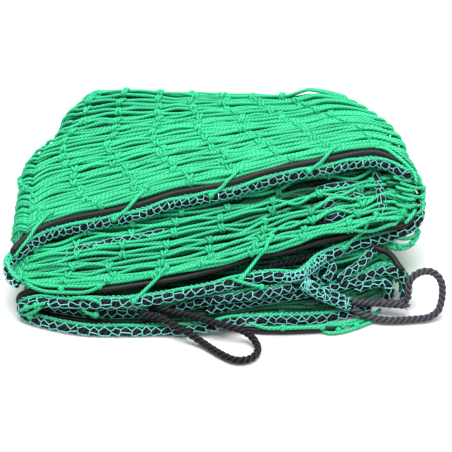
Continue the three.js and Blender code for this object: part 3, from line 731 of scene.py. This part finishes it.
# Cords, along the same routes as their solids
routes = {
    "elastic_top": [
        (-188, -72, 52), (-176, -55, 57), (-158, -43, 61), (-129, -37, 66), (-100, -34, 70.5),
        (-68, -28, 76), (-41, -20, 81), (-14, -17, 85), (11, -14, 88.5), (49, -3, 95), (85, 3.5, 100),
        (110, 7, 103), (132, 11, 105.5), (149, 12, 106.5), (160, 8, 106), (169, 3, 103.8),
        (176, 2.5, 100), (181, 7, 95)],
    "elastic_front": [
        (184.6, -31, 63.6), (181.2, -35, 60), (175, -38, 57), (157, -40.5, 56), (130, -47, 54),
        (103, -53.5, 51.9), (84, -60, 50), (62, -67.5, 47.5), (35, -72.5, 45), (8, -82, 42), (-14, -89, 40),
        (-34, -94, 38), (-66, -98.5, 35), (-93, -102, 32.5), (-114, -103.5, 30.5), (-144, -100.5, 28),
        (-171, -96.5, 25), (-181, -96.5, 19.5), (-182.5, -96.5, 12),
        (-175, -99, 6), (-159, -103.5, 3.4), (-136, -110, 3.3), (-93, -118.5, 3.3), (-61, -118, 3.3),
        (-15, -117, 3.3), (10, -120, 3.3), (32, -125.5, 3.3), (55, -127, 3.3), (85, -125.7, 3.3),
        (113, -122.5, 3.3)],
    "border_rope_front": [
        (190, -6.6, 78.4), (191, -11, 73.5), (192, -20, 66), (191.5, -28, 59), (183, -35, 52.5),
        (170, -40, 48), (151, -45, 45.5), (130, -51, 44), (111, -60, 42), (96, -69, 40),
        (86, -79, 38.5), (76, -89.5, 37.5), (62, -91, 37),
        (46, -89, 36), (29, -91, 35), (8, -98, 33), (-21, -105.5, 31), (-46, -111, 29), (-72, -115, 27.5),
        (-106, -114.5, 25), (-143, -110.5, 22.5), (-166, -107.5, 20.5), (-177, -105.5, 16),
        (-180.5, -105, 11),
        (-177, -108, 6.5), (-169, -112, 4.5), (-158, -117, 4.3), (-140, -123, 4.3), (-120, -127.5, 4.3),
        (-88, -129, 4.3), (-52, -128, 4.3), (-25, -128.5, 5.5), (2, -127, 9.8), (20, -123.5, 11.2),
        (38, -119, 9), (58, -115.5, 6), (92, -112, 4.6), (110, -107, 4.2), (120, -103.5, 4.1),
        (127, -100.5, 4.1), (135, -98, 4.1), (142, -95.5, 4.1)],
    "border_rope_inner": [
        (-153, -102, 10.5), (-115, -109.5, 9.8), (-85, -111, 10.4), (-58, -109.5, 11.4), (-32, -107, 15),
        (-8, -104, 20), (10, -105, 23), (31, -103.5, 25), (53, -100, 27), (72, -92, 27)],
    "border_rope_corner": [
        (-10, -107, 11.5), (12, -104, 13.8), (35, -100, 15.8), (58, -96, 17.5), (86, -90.5, 19.5),
        (115, -85, 22), (133, -80.5, 26.5), (150, -77, 32), (163, -77, 33.5), (173, -80, 28),
        (177, -85, 18), (173.5, -87, 9)],
    "corner_seizing": [(79.4, -93.8, 33.3), (92, -99.5, 27.5), (107, -101, 20.5), (122.2, -101.2, 13.3)],
    "rope_eye_front": [
        (-61, -110.5, 19.3), (-45, -118.5, 19.4), (-27, -122.5, 18.5), (-10, -129, 18), (3, -134, 17),
        (15, -136, 14.5), (25, -137, 11), (32, -141, 7.5), (36, -147, 5), (37, -154, 4.3), (34, -162, 4.3),
        (28, -167, 4.3), (20, -168.5, 4.3), (13, -166.5, 4.3), (5, -161, 4.3), (-3, -154, 4.3),
        (-14, -145, 6),
        (-27, -138, 11), (-41, -130.5, 15), (-55, -123.5, 17.4), (-70, -121, 18.6)],
    "rope_eye_side": [
        (124.2, -105.4, 12), (132, -108.5, 9), (142, -111, 6), (154, -113, 4.6), (168, -113, 4.3),
        (182, -111.5, 4.3), (195, -109.5, 5), (203.5, -105.5, 9), (207, -99.5, 17), (207.5, -94, 28),
        (204.5, -91, 36), (198, -88.5, 41), (190, -88.5, 42), (181, -92.5, 40.5), (176, -96.5, 35.5),
        (175.5, -99, 27), (175.5, -99.5, 19), (170.5, -99, 13.8), (161, -99, 12.8), (141, -99, 13.2),
        (131, -98.6, 13.3), (124.2, -98, 13.3)],
}
topRopeDrop = np.array([0.0, -4.5, -8.4])
routes["border_rope_top"] = (
    [(-181, -97.5, 34), (-187, -94.5, 36), (-191.5, -87, 39.5), (-192, -78.5, 42.5), (-184.5, -68.5, 45.6)]
    + [tuple(np.array(p) + topRopeDrop) for p in routes["elastic_top"][2:-3]]
    + [(176, -7, 95), (183, -4, 90.5), (187.5, -3, 85), (189.7, -5.5, 80)])

elastic = {"radius": 3.0, "step": 3.0, "sides": 14,
           "tuck": {"elastic_top": [(-166, -52, 40), (-177, -60, 40.5), (-185, -69, 45)]}}


def buildElastic(name, route, node=None):
    bundle = Bundle()
    addTube(bundle, *smoothRoute(route, elastic["step"]), elastic["radius"], elastic["sides"])
    bundle.build(name, elasticMaterial, node)


for name in ("elastic_top", "elastic_front"):
    buildElastic("black_" + name, elastic["tuck"].get(name, []) + routes[name], name)

rope = {"radius": 4.0, "strands": 3, "strand": 1.72, "helix": 2.28, "lay": 16.0, "step": 2.0, "sides": 7}


# Strands laid round a route
def addRope(bundle, centres, reach, size, tone=0.0):
    _, up, side = routeFrames(centres)
    for k in range(rope["strands"]):
        angle = -2 * math.pi * reach / rope["lay"] + k * 2 * math.pi / rope["strands"]
        spoke = up * np.cos(angle)[:, None] + side * np.sin(angle)[:, None]
        path = centres + size * rope["helix"] * spoke
        addFacingTube(bundle, path, spoke, reach, size * rope["strand"], rope["sides"], tone)


def layRope(bundle, route, size=1.0, tone=0.0):
    centres, reach = smoothRoute(route, rope["step"])
    addRope(bundle, centres, reach, size, tone)
    return centres, reach


stitch = {
    "radius": 0.44, "sides": 4, "lines": 5, "proud": 0.5, "step": 1.6, "zigzag": 0.27, "arch": 0.2,
    "linkSteps": 6, "endGap": 1.0, "swingUneven": 0.09, "linkUneven": 0.1, "leanUneven": 0.12,
    "proudUneven": 0.1, "seed": 40,
    "cell": {"border_rope_top": 7.0, "border_rope_front": 9.5}, "innerCell": 9.0,
}
stitchBundle = Bundle()


def addThread(path, base, tone):
    reach = np.arange(len(path)) * stitch["step"]
    addFacingTube(stitchBundle, path, unit(path - base), reach, stitch["radius"], stitch["sides"], tone)


# Values at given places along a row of bends, rounded at each bend
def easedThrough(at, bends, values):
    i = np.clip(np.searchsorted(bends, at) - 1, 0, len(bends) - 2)
    t = np.clip((at - bends[i]) / np.maximum(bends[i + 1] - bends[i], tiny), 0, 1)
    return mix(values[i], values[i + 1], t * t * (3 - 2 * t))


# Sewing thread that nets a rope in: wavy lines along it and links across, staggered like bricks
def addStitches(centres, reach, size, cell, seed, lines=stitch["lines"]):
    wobble = np.random.default_rng(seed)
    _, up, side = routeFrames(centres)

    def onRope(at, angle, proud):
        base = alongRoute(at, reach, centres)
        upAt, sideAt = (unit(alongRoute(at, reach, values)) for values in (up, side))
        spoke = upAt * np.cos(angle)[:, None] + sideAt * np.sin(angle)[:, None]
        return base + spoke * (size + proud)[:, None], base

    cells = int(reach[-1] / cell) + 2
    count = max(leastSteps, int(reach[-1] / stitch["step"]))
    at = np.linspace(reach[0], reach[-1], count)
    links = []
    for j in range(lines):
        uneven = wobble.normal(0, stitch["linkUneven"] * cell, cells)
        links.append((np.arange(cells) + 0.5 * (j % 2)) * cell + uneven)
    angles = []
    for j in range(lines):
        bends = np.concatenate([links[j], links[j - 1]])
        swing = np.concatenate([np.full(cells, 1.0), np.full(cells, -1.0)]) * stitch["zigzag"]
        swing = swing + wobble.normal(0, stitch["swingUneven"], 2 * cells)
        order = np.argsort(bends)
        angle = (j + easedThrough(at, bends[order], swing[order])) * 2 * math.pi / lines
        angles.append(angle)
        path, base = onRope(at, angle, stitch["proud"] + wobble.normal(0, stitch["proudUneven"], count))
        addThread(path, base, wobble.normal(0, 1))
    for j in range(lines):
        for place in links[j]:
            if not stitch["endGap"] < place < reach[-1] - stitch["endGap"]:
                continue
            low = np.interp(place, at, angles[j])
            high = np.interp(place, at, angles[(j + 1) % lines]) + (2 * math.pi if j + 1 == lines else 0)
            lean = wobble.normal(0, stitch["leanUneven"] * cell)
            share = np.linspace(0, 1, stitch["linkSteps"])
            path, base = onRope(place + lean * (share - 0.5), mix(low, high, share),
                                stitch["proud"] + stitch["arch"] * np.sin(math.pi * share))
            addThread(path, base, wobble.normal(0, 1))


sewnRopes = ("border_rope_top", "border_rope_front", "border_rope_inner", "border_rope_corner")
for order, name in enumerate(sewnRopes):
    bundle = Bundle()
    centres, reach = layRope(bundle, routes[name])
    bundle.build("sewn_" + name, ropeMaterial, name)
    cell = stitch["cell"].get(name, stitch["innerCell"])
    addStitches(centres, reach, rope["radius"], cell, stitch["seed"] + order)

# The sewn corner: two legs of rope side by side under close stitches, wound round with loose thread
seizing = {"half": 3.3, "size": 0.85, "cell": 7.0, "seed": 60}
winding = {"count": 9, "steps": 25, "wide": 7.0, "high": 3.9, "lean": 5.0, "first": 0.02, "crowd": 1.9,
           "seed": 71}
centres, reach = smoothRoute(routes["corner_seizing"], rope["step"])
_, up, side = routeFrames(centres)
seizingBundle = Bundle()
for order, hand in enumerate((-1, 1)):
    leg = centres + side * hand * seizing["half"]
    addRope(seizingBundle, leg, reach, seizing["size"])
    addStitches(leg, reach, rope["radius"] * seizing["size"], seizing["cell"], seizing["seed"] + order)
wound = np.random.default_rng(winding["seed"])
turn = np.linspace(0, 2 * math.pi, winding["steps"])
for _ in range(winding["count"]):
    middle = reach[-1] * wound.uniform(winding["first"], 1) ** winding["crowd"]
    at = np.clip(middle + wound.normal(0, winding["lean"]) * np.cos(turn), 0, reach[-1])
    base, upAt, sideAt = (alongRoute(at, reach, values) for values in (centres, up, side))
    wide = sideAt * (winding["wide"] * np.cos(turn))[:, None]
    high = upAt * (winding["high"] * np.sin(turn))[:, None]
    addThread(base + wide + high, base, wound.normal(0, 1))

# Close stitches where the corner leaves the border
junction = {
    "route": [(100, -66.5, 40.5), (92, -73, 39.5), (86, -79, 38.5), (80, -85.5, 37.8), (72, -90.5, 37.4),
              (62, -91, 37)],
    "size": 4.4, "lines": 7, "cell": 4.2, "seed": 66,
}
centres, reach = smoothRoute(junction["route"], rope["step"])
addStitches(centres, reach, junction["size"], junction["cell"], junction["seed"], junction["lines"])
seizingBundle.build("sewn_corner_rope", ropeMaterial, "corner_seizing")

# Edge meshes: twine along the border, crossings over the elastic, and loose meshes at the ends
edge = {"twine": 1.75, "step": 3.0, "deepPaintedShade": -5.0, "tip": 0.85, "tipStep": 1.5, "over": 2.6, "seed": 23}
lump = {"size": 3.0, "steps": 6, "leans": (-0.6, 0.6), "aside": 0.3, "ends": 0.25, "tone": 0.5}
edgeBundle = Bundle()
edgeNoise = np.random.default_rng(edge["seed"])


def addTwine(centres, reach, tone=0.0):
    addTube(edgeBundle, centres, reach, edge["twine"], net["sides"], tone + edgeNoise.normal(0, 1))


def addLoose(route, tone=0.0):
    addTwine(*smoothRoute(route, edge["step"]), tone)


# A knot seen as a lump of two turns
def addLump(place):
    turn = np.linspace(0, math.pi, lump["steps"])
    for lean in lump["leans"]:
        axis = unit(np.array([math.cos(lean), lump["aside"], math.sin(lean)]))
        spine = np.array(place) - axis * (lump["size"] * np.cos(turn))[:, None]
        width = lump["size"] * mix(lump["ends"], 1, np.sin(turn))
        up = np.broadcast_to(unit(np.cross(axis, (0, 1, 0))), spine.shape)
        side = np.broadcast_to(np.cross(axis, up[0]), spine.shape)
        rings = ringsAlong(spine, up, side, width[:, None], net["sides"])
        edgeBundle.addRings(rings, turn * lump["size"], lump["tone"])


# Directions from a rope toward the net it is sewn to: up and back
def towardNet(centres, lean):
    ahead = unit(np.gradient(centres, axis=0))
    aim = np.array([0.0, math.sin(lean), math.cos(lean)])
    return squareTo(ahead, aim)


selvage = {"leans": {"border_rope_top": (0.1, 0.75)}, "behind": (0.75, 1.35), "distance": 4.9,
           "insidePaintedShade": -7.0, "wave": 0.8, "waveLengths": (13, 9, 7)}
zigzag = {"pitch": 4.6, "drift": 17, "before": -0.4, "past": 0.15, "distance": 6.8}


def addSelvage(order, name):
    centres, reach = smoothRoute(routes[name], edge["step"])
    leans = selvage["leans"].get(name, selvage["behind"])
    # Twine along the inner and corner ropes gets painted shade, as it lies inside the folds
    tone = selvage["insidePaintedShade"] if name in sewnRopes[2:] else 0.0
    for k, lean in enumerate(leans):
        shifts = zip(selvage["waveLengths"], (2 * k + order, k, 3 * k))
        wave = selvage["wave"] * np.stack([np.sin(reach / length + shift) for length, shift in shifts], -1)
        addTwine(centres + towardNet(centres, lean) * selvage["distance"] + wave, reach, tone)
    fine, reach = smoothRoute(routes[name], stitch["step"])
    swing = 0.5 - 0.5 * np.cos(2 * math.pi * reach / zigzag["pitch"] + np.sin(reach / zigzag["drift"]))
    lean = mix(leans[0] + zigzag["before"], leans[1] + zigzag["past"], swing)
    out = np.array([towardNet(fine[max(0, i - 1):i + 2], a)[min(i, 1)] for i, a in enumerate(lean)])
    addThread(fine + out * zigzag["distance"], fine, 0.0)


for order, name in enumerate(sewnRopes):
    addSelvage(order, name)

crossing = {
    "kinds": [
        {"elastic": "elastic_top", "rope": "border_rope_top", "side": 1, "places": (-170, -80, 10, 103),
         "onNet": ((2, 14), (1, 11), (0, 7)), "over": (1, -0.5, 5)},
        {"elastic": "elastic_front", "rope": "border_rope_front", "side": -1, "places": (-58, 38, 135),
         "onNet": ((0, 13), (-1, 10), (-2, 7)), "over": (1, -3, 4)}],
    "step": 2.0, "back": 15, "knot": (-1, -3.2, 3.6),
    "between": ((0.4, (1, -1.5, 3.6)), (0.75, (0, -2.5, 4)), (1, (0, -3, 4))),
}


# A place on the outside of the net, over a strand of the top or of the skirt
def overNet(side, lane, x):
    segment = 0 if side > 0 else skirt
    first, last = segmentStart[segment] + net["foldGap"], segmentStart[segment + 1] - net["foldGap"]
    reach = np.arange(first, last, 1.0)
    centres, outward = outerPlies[side].place(lane, reach)
    nearest = np.argmin(np.abs(centres[:, 0] - x))
    return centres[nearest] + edge["over"] * unit(outward[nearest])


# The point nearest x on a cord's first pass along the front
def cordAt(name, x):
    points, _ = smoothRoute(routes[name], crossing["step"])
    if points[0, 0] > 0:
        points = points[:np.argmin(points[:, 0]) + 1]
    return points[np.argmin(np.abs(points[:, 0] - x))]


# Twine from a knot in the net over the elastic to a small knot on the rope
def addCrossing(kind, x):
    top = cordAt(kind["elastic"], x)
    end = cordAt(kind["rope"], x - crossing["back"])
    onNet = [overNet(kind["side"], lane, top[0] + away) for lane, away in kind["onNet"]]
    below = [mix(top, end, share) + shift for share, shift in crossing["between"]]
    addLoose(onNet + [top + kind["over"]] + below)
    addLump(end + crossing["knot"])
    addLump(onNet[0])


for kind in crossing["kinds"]:
    for x in kind["places"]:
        addCrossing(kind, x)

looseTwine = [
    [(-133, -113, 27.5), (-127, -113.5, 31), (-119, -115, 32), (-111, -116, 30.5), (-106, -117, 28)],
    [(14, -96, 39), (20, -99, 38.5), (31, -101, 36.5), (41, -101.5, 34)],
    [(-123, -114.5, 20.5), (-119, -117, 17), (-114, -118, 15.8), (-110, -118, 15)],
    [(-176, -92, 32), (-168, -98.5, 31), (-158, -102.8, 30.3), (-146, -105, 30.6), (-134, -106.5, 31.4),
     (-122, -107.5, 32.2), (-112, -106, 34.5), (-102, -101, 38)],
    [(-178, -88, 33), (-168, -94, 32.5), (-156, -98, 32.4), (-143, -99.5, 33), (-130, -101, 34),
     (-118, -102.4, 35.2), (-106, -101, 37)],
    [(22, -120, 12), (31, -124, 9.5), (44, -128, 7.8), (58, -128.6, 7.8), (72, -128, 7.8),
     (86, -127.3, 7.8), (97, -126.5, 7.2)],
    [(-180, -110, 13), (-174, -113, 18.5), (-165, -114.5, 22.5), (-156, -113, 24.5)],
    [(-178, -109, 7), (-173, -114, 12), (-166, -116, 17), (-160, -115, 21.5)],
    [(92, -123, 2.1), (101, -128.5, 2.2), (113, -127.5, 2.4), (128, -121, 2.3), (142, -113, 2.2)],
    [(40, -121, 2.2), (62, -120.5, 2.2), (84, -121, 3), (99, -123, 6.6), (112, -123, 7), (122, -119, 4),
     (133, -112.5, 2.3), (145, -103, 2.3), (152, -95, 2.3)],
    [(100, -116, 2.2), (118, -116.5, 4.5), (128, -111, 2.3), (140, -104, 2.3)],
    [(165, -38, 44), (178, -40, 43), (188, -35, 45), (190, -27, 50), (185, -20, 54)],
    [(162, -42, 41), (176, -45, 39), (187, -40, 41), (191, -31, 45), (187, -22, 49)],
    [(160, -44, 37), (172, -47, 36), (183, -43, 37.5), (186, -33, 41)],
    [(150, 20, 107), (160, 12, 110.5), (170, 2, 108), (178, -3, 103), (185, -7, 96), (188, -12, 88)],
    [(156, 24, 106), (166, 14, 109), (175, 7, 106), (182, 3, 101), (188, 2, 93), (190, 6, 84)],
    [(160, 28, 104), (170, 19, 105.5), (179, 13, 101), (186, 10, 94), (188, 12, 85), (184, 18, 78)],
    [(166, -8, 92), (178, -10, 89), (186, -6, 86), (187, 4, 83), (182, 14, 81)],
    [(168, -16, 86), (180, -17, 83), (187, -12, 80), (188, 0, 77), (183, 12, 75)],
    [(168, -22, 80), (180, -23, 77), (187, -18, 74), (188, -6, 72), (184, 8, 70)],
    [(168, -28, 74), (180, -28, 71), (187, -22, 69), (188, -10, 67), (184, 4, 65)],
    [(168, -33, 67), (179, -33, 65), (186, -27, 63), (187, -14, 61), (184, 0, 60)],
    [(172, -12, 88), (186, -14, 84), (195, -8, 80), (193, 4, 76), (184, 10, 74)],
    [(174, -18, 80), (188, -19, 77), (196, -13, 73), (195, -2, 70), (187, 8, 68)],
    [(170, -26, 72), (186, -25, 71), (196, -20, 68), (196, -10, 64), (188, 0, 60)],
    [(168, -24, 71), (180, -20, 69), (187, -8, 66.5), (185, 8, 64)],
    [(167, -31, 63), (179, -26, 61), (186, -14, 58.5), (185, 2, 56)],
    [(166, -18, 77), (178, -14, 75), (186, -2, 72), (184, 14, 70)],
    [(176, -40, 61), (182, -36, 66), (186, -28, 67), (188, -18, 64)],
    [(166, -24, 49), (180, -21, 46), (184, -11, 42), (180, 0, 42), (166, 4, 48)],
    [(168, -14, 47), (179, -12, 43), (183, -2, 38), (179, 10, 37), (165, 14, 44)],
    [(168, -2, 46), (179, 2, 41), (183, 12, 35), (179, 22, 36), (164, 26, 44)],
    [(164, 12, 46), (178, 15, 41), (182, 25, 37), (177, 34, 38), (162, 38, 45)],
    [(162, -32, 45), (176, -31, 41), (182, -23, 39), (179, -12, 40), (165, -8, 46)],
    [(172, -6, 67), (181, 0, 63), (184, 10, 59), (179, 20, 56)],
    [(172, 4, 62), (182, 9, 58), (184, 19, 54), (177, 28, 52)],
    [(172, -16, 62), (182, -10, 59), (185, 0, 55), (180, 12, 52)],
    [(156, -3, 86), (169, 1, 85), (179, 7, 82), (183, 18, 78)],
    [(158, 5, 84), (171, 9, 82), (180, 15, 79), (183, 26, 75)],
    [(148, 45, 108), (163, 40, 103), (175, 36, 95), (182, 34, 85)],
    [(150, 55, 106), (163, 50, 102), (173, 47, 94), (179, 45, 84)],
    [(152, 35, 107), (166, 29, 102), (178, 25, 94), (185, 24, 84)],
    [(146, 64, 106), (158, 60, 102), (168, 57, 94), (174, 55, 84)],
]
for route in looseTwine:
    addLoose(route)
# Twine deeper inside the right end, darkened with painted shade
deepTwine = [
    [(160, -14, 82), (174, -16, 80), (181, -12, 77), (182, 0, 74), (172, 12, 72)],
    [(160, -20, 77), (174, -22, 75), (181, -18, 72), (182, -6, 70), (172, 8, 68)],
    [(160, -26, 71), (174, -28, 69), (181, -23, 67), (182, -10, 64), (172, 4, 62)],
    [(160, -31, 65), (173, -33, 63), (180, -28, 61), (182, -14, 59), (172, 0, 58)],
    [(158, -33, 59), (171, -35, 58), (178, -30, 56), (180, -18, 54), (170, -4, 54)],
    [(160, -8, 86), (173, -9, 85), (180, -5, 82), (181, 6, 79), (170, 18, 77)],
]
for route in deepTwine:
    addLoose(route, edge["deepPaintedShade"])
edgeKnots = [
    (111, -126, 3.2), (128, -120, 3.2), (184, -43, 40), (190, -33, 46), (172, -46, 38), (195, -9, 80),
    (194, -17, 75), (41, -101.5, 34), (-110, -118.5, 15), (-174, -111.5, 17.5), (-165, -113, 21.5),
    (-171, -114, 10), (115, -122, 5), (-142, -103, 32.6), (-107, -103.5, 36), (60, -128.2, 8),
    (96, -126, 7)]
for place in edgeKnots:
    addLump(place)

# Meshes that close the right end of the lower folds, with painted shade: the inner arcs darker than the
# outer ones
endMesh = {
    "arc": [(138, -78, 22), (152, -74, 28.5), (164, -73, 31), (172, -75, 26), (175, -79, 17),
            (172, -82, 7)],
    "pivot": (140, -80, 6), "sizes": (1.0, 0.72, 0.45), "count": 8, "shift": (-1.0, 4.2, 0.3),
    "uneven": 1.5, "tone": -6.5, "outerPaintedShade": -2.5,
}
for k in range(endMesh["count"]):
    for size in endMesh["sizes"]:
        arc = mix(np.array(endMesh["pivot"], float), np.array(endMesh["arc"], float), size)
        loose = edgeNoise.normal(0, endMesh["uneven"], arc.shape)
        tone = endMesh["tone"] if size < 1 else endMesh["outerPaintedShade"]
        addLoose(arc + np.array(endMesh["shift"]) * k + loose, tone)
edgeBundle.build("edge_twine", twineMaterial)

# Cut ends of twine that stand out of knots
tips = [
    [(174, 2, 88), (177, 0, 88.5), (180, -4, 87), (182, -7, 84.5)],
    [(181, -9, 84), (184, -12, 83.5), (187, -15, 81.5), (189, -17, 79)],
    [(160, -37, 66.5), (163, -40.5, 67.5), (166, -42.5, 66.5)],
]
tipBundle = Bundle()
for route in tips:
    addTube(tipBundle, *smoothRoute(route, edge["tipStep"]), edge["tip"], net["sides"])
tipBundle.build("twine_tips", tipMaterial)

# Turns of the border that lie inside the folds and show between strands and through the open right end
innerTurns = {
    "rope": [
        [(128, -88, 21), (143, -88, 27), (152, -88, 28.5), (159, -89.5, 25), (161, -91, 18.5),
         (157, -91, 12)],
        [(149, -52, 40), (143, -57, 39), (139, -64, 38), (132, -71, 36), (125, -76, 34), (119, -80, 31),
         (112, -84, 28)],
        [(93, -86, 26), (89, -80, 29), (92, -71, 32.5), (100, -66.5, 34), (107, -69, 33.5), (106, -77, 31),
         (100, -84, 27)],
        [(-151, -59, 31), (-141, -64, 39.5), (-133, -59, 43.5), (-124, -58, 45.5), (-112, -57, 46.5),
         (-98, -54, 49.5), (-83, -53, 51.5), (-68, -51, 53.5), (-54, -47, 54.5), (-40, -39, 50)],
        [(92, 0, 68), (103, -6, 77), (113, -4, 78), (123, -3, 79), (134, -4, 79), (145, -4, 77),
         (156, 2, 70)],
        [(92, -18, 63), (102, -24, 71), (110, -17, 73), (119, -14, 75), (128, -15, 75), (137, -19, 74),
         (146, -20, 71), (156, -14, 65)],
        [(98, -32, 59), (109, -38, 66), (118, -35, 67), (127, -32, 69), (136, -28, 71), (146, -25, 69),
         (156, -20, 63)],
        [(152, 12, 78), (152, 3, 84), (153, -7, 81), (154, -19, 78), (155, -31, 73), (155, -38, 66),
         (154, -32, 58)]],
    "bare": [(16, -80, 27), (30, -80, 31), (42, -77, 34), (54, -71.5, 36), (68, -67.5, 37), (82, -64, 38),
             (91, -58.5, 39.5), (99, -50, 39)],
    "elastic": [(143, -46, 43.5), (149, -53, 42), (158, -58, 41.5), (164, -66, 40.5), (167.5, -74, 38.5),
                (172, -79.5, 35)],
    "size": 0.88, "seed": 80,
}
turnBundle = Bundle()
for order, route in enumerate(innerTurns["rope"]):
    centres, reach = layRope(turnBundle, route, innerTurns["size"])
    addStitches(centres, reach, rope["radius"] * innerTurns["size"], stitch["innerCell"],
                innerTurns["seed"] + order)
layRope(turnBundle, innerTurns["bare"], innerTurns["size"])
turnBundle.build("inner_border_rope", ropeMaterial)
buildElastic("inner_elastic", innerTurns["elastic"])
stitchBundle.build("border_stitches", threadMaterial)

# Rope eyes, a little thinner than the sewn rope, and the cut tail beside the seizing; the front eye is
# painted darker than the side eye as painted shade
eye = {"size": 0.92, "diameter": 7.4, "tone": {"rope_eye_front": -4.1, "rope_eye_side": 0.0},
       "tail": [(150, -100, 13.4), (159, -101.2, 13.6), (167, -102.4, 13.8), (174.5, -103, 14)]}
fibre = {"count": 14, "radius": 0.3, "sides": 4, "step": 1.5, "spread": 1.3, "most": 1.6, "length": (3, 6),
         "rootShare": (0.2, 1, 1), "droop": 0.5, "bend": 0.3, "seed": 97}


def buildTail():
    bundle = Bundle()
    centres, _ = layRope(bundle, eye["tail"], eye["size"])
    fray = np.random.default_rng(fibre["seed"])
    for _ in range(fibre["count"]):
        spread = np.clip(fray.normal(0, fibre["spread"], 3), -fibre["most"], fibre["most"])
        root = centres[-2] + spread * fibre["rootShare"]
        end = root + np.array([fray.uniform(*fibre["length"]), spread[1], spread[2] - fibre["droop"]])
        middle = mix(root, end, 0.5) + fray.normal(0, fibre["bend"], 3)
        addTube(bundle, *smoothRoute([root, middle, end], fibre["step"]), fibre["radius"], fibre["sides"])
    bundle.build("cut_rope_tail", eyeMaterial)


def buildEye(name):
    bundle = Bundle()
    centres, reach = layRope(bundle, routes[name], eye["size"], eye["tone"][name])
    piece = bundle.build("twisted_" + name, eyeMaterial, name)


buildTail()
for name in ("rope_eye_front", "rope_eye_side"):
    buildEye(name)


# Floor and light, in metres
studio = {
    "floor": (0.93, 0.93, 0.93, 1), "floorRoughness": 0.9, "floorGloss": 0.1, "floorReach": 6.0,
    "world": 0.36, "aim": (0.0, -0.02, 0.05),
    "lights": {"keyLight": ((-0.08, -0.05, 1.85), 1.6, 49.0), "fillLight": ((1.1, -0.7, 0.9), 1.2, 6.0),
               "rimLight": ((0.2, 1.2, 1.2), 1.0, 4.0)},  # place, size and power
}


def buildFloor():
    material = bpy.data.materials.new("paleFloor")
    material.use_nodes = True
    feed(material.node_tree, material.node_tree.nodes["Principled BSDF"], {
        "Base Color": studio["floor"], "Roughness": studio["floorRoughness"],
        "Specular IOR Level": studio["floorGloss"]})
    mesh = bpy.data.meshes.new("floor")
    reach = studio["floorReach"]
    places = [(-reach, -reach, 0), (reach, -reach, 0), (reach, reach, 0), (-reach, reach, 0)]
    mesh.from_pydata(places, [], [(0, 1, 2, 3)])
    mesh.materials.append(material)
    addObject("floor", mesh)


def buildLights():
    world = bpy.data.worlds.new("softStudio")
    world.use_nodes = True
    feed(world.node_tree, world.node_tree.nodes["Background"], {
        "Color": (1, 1, 1, 1), "Strength": studio["world"]})
    scene.world = world
    for label, (place, size, power) in studio["lights"].items():
        data = bpy.data.lights.new(label, "AREA")
        data.size = size
        data.energy = power
        lamp = addObject(label, data)
        lamp.location = place
        aim = np.array(studio["aim"]) - np.array(place)
        lamp.rotation_euler = (math.acos(-aim[2] / np.linalg.norm(aim)), 0.0, math.atan2(-aim[0], aim[1]))
    print("studio lit")


buildFloor()
buildLights()
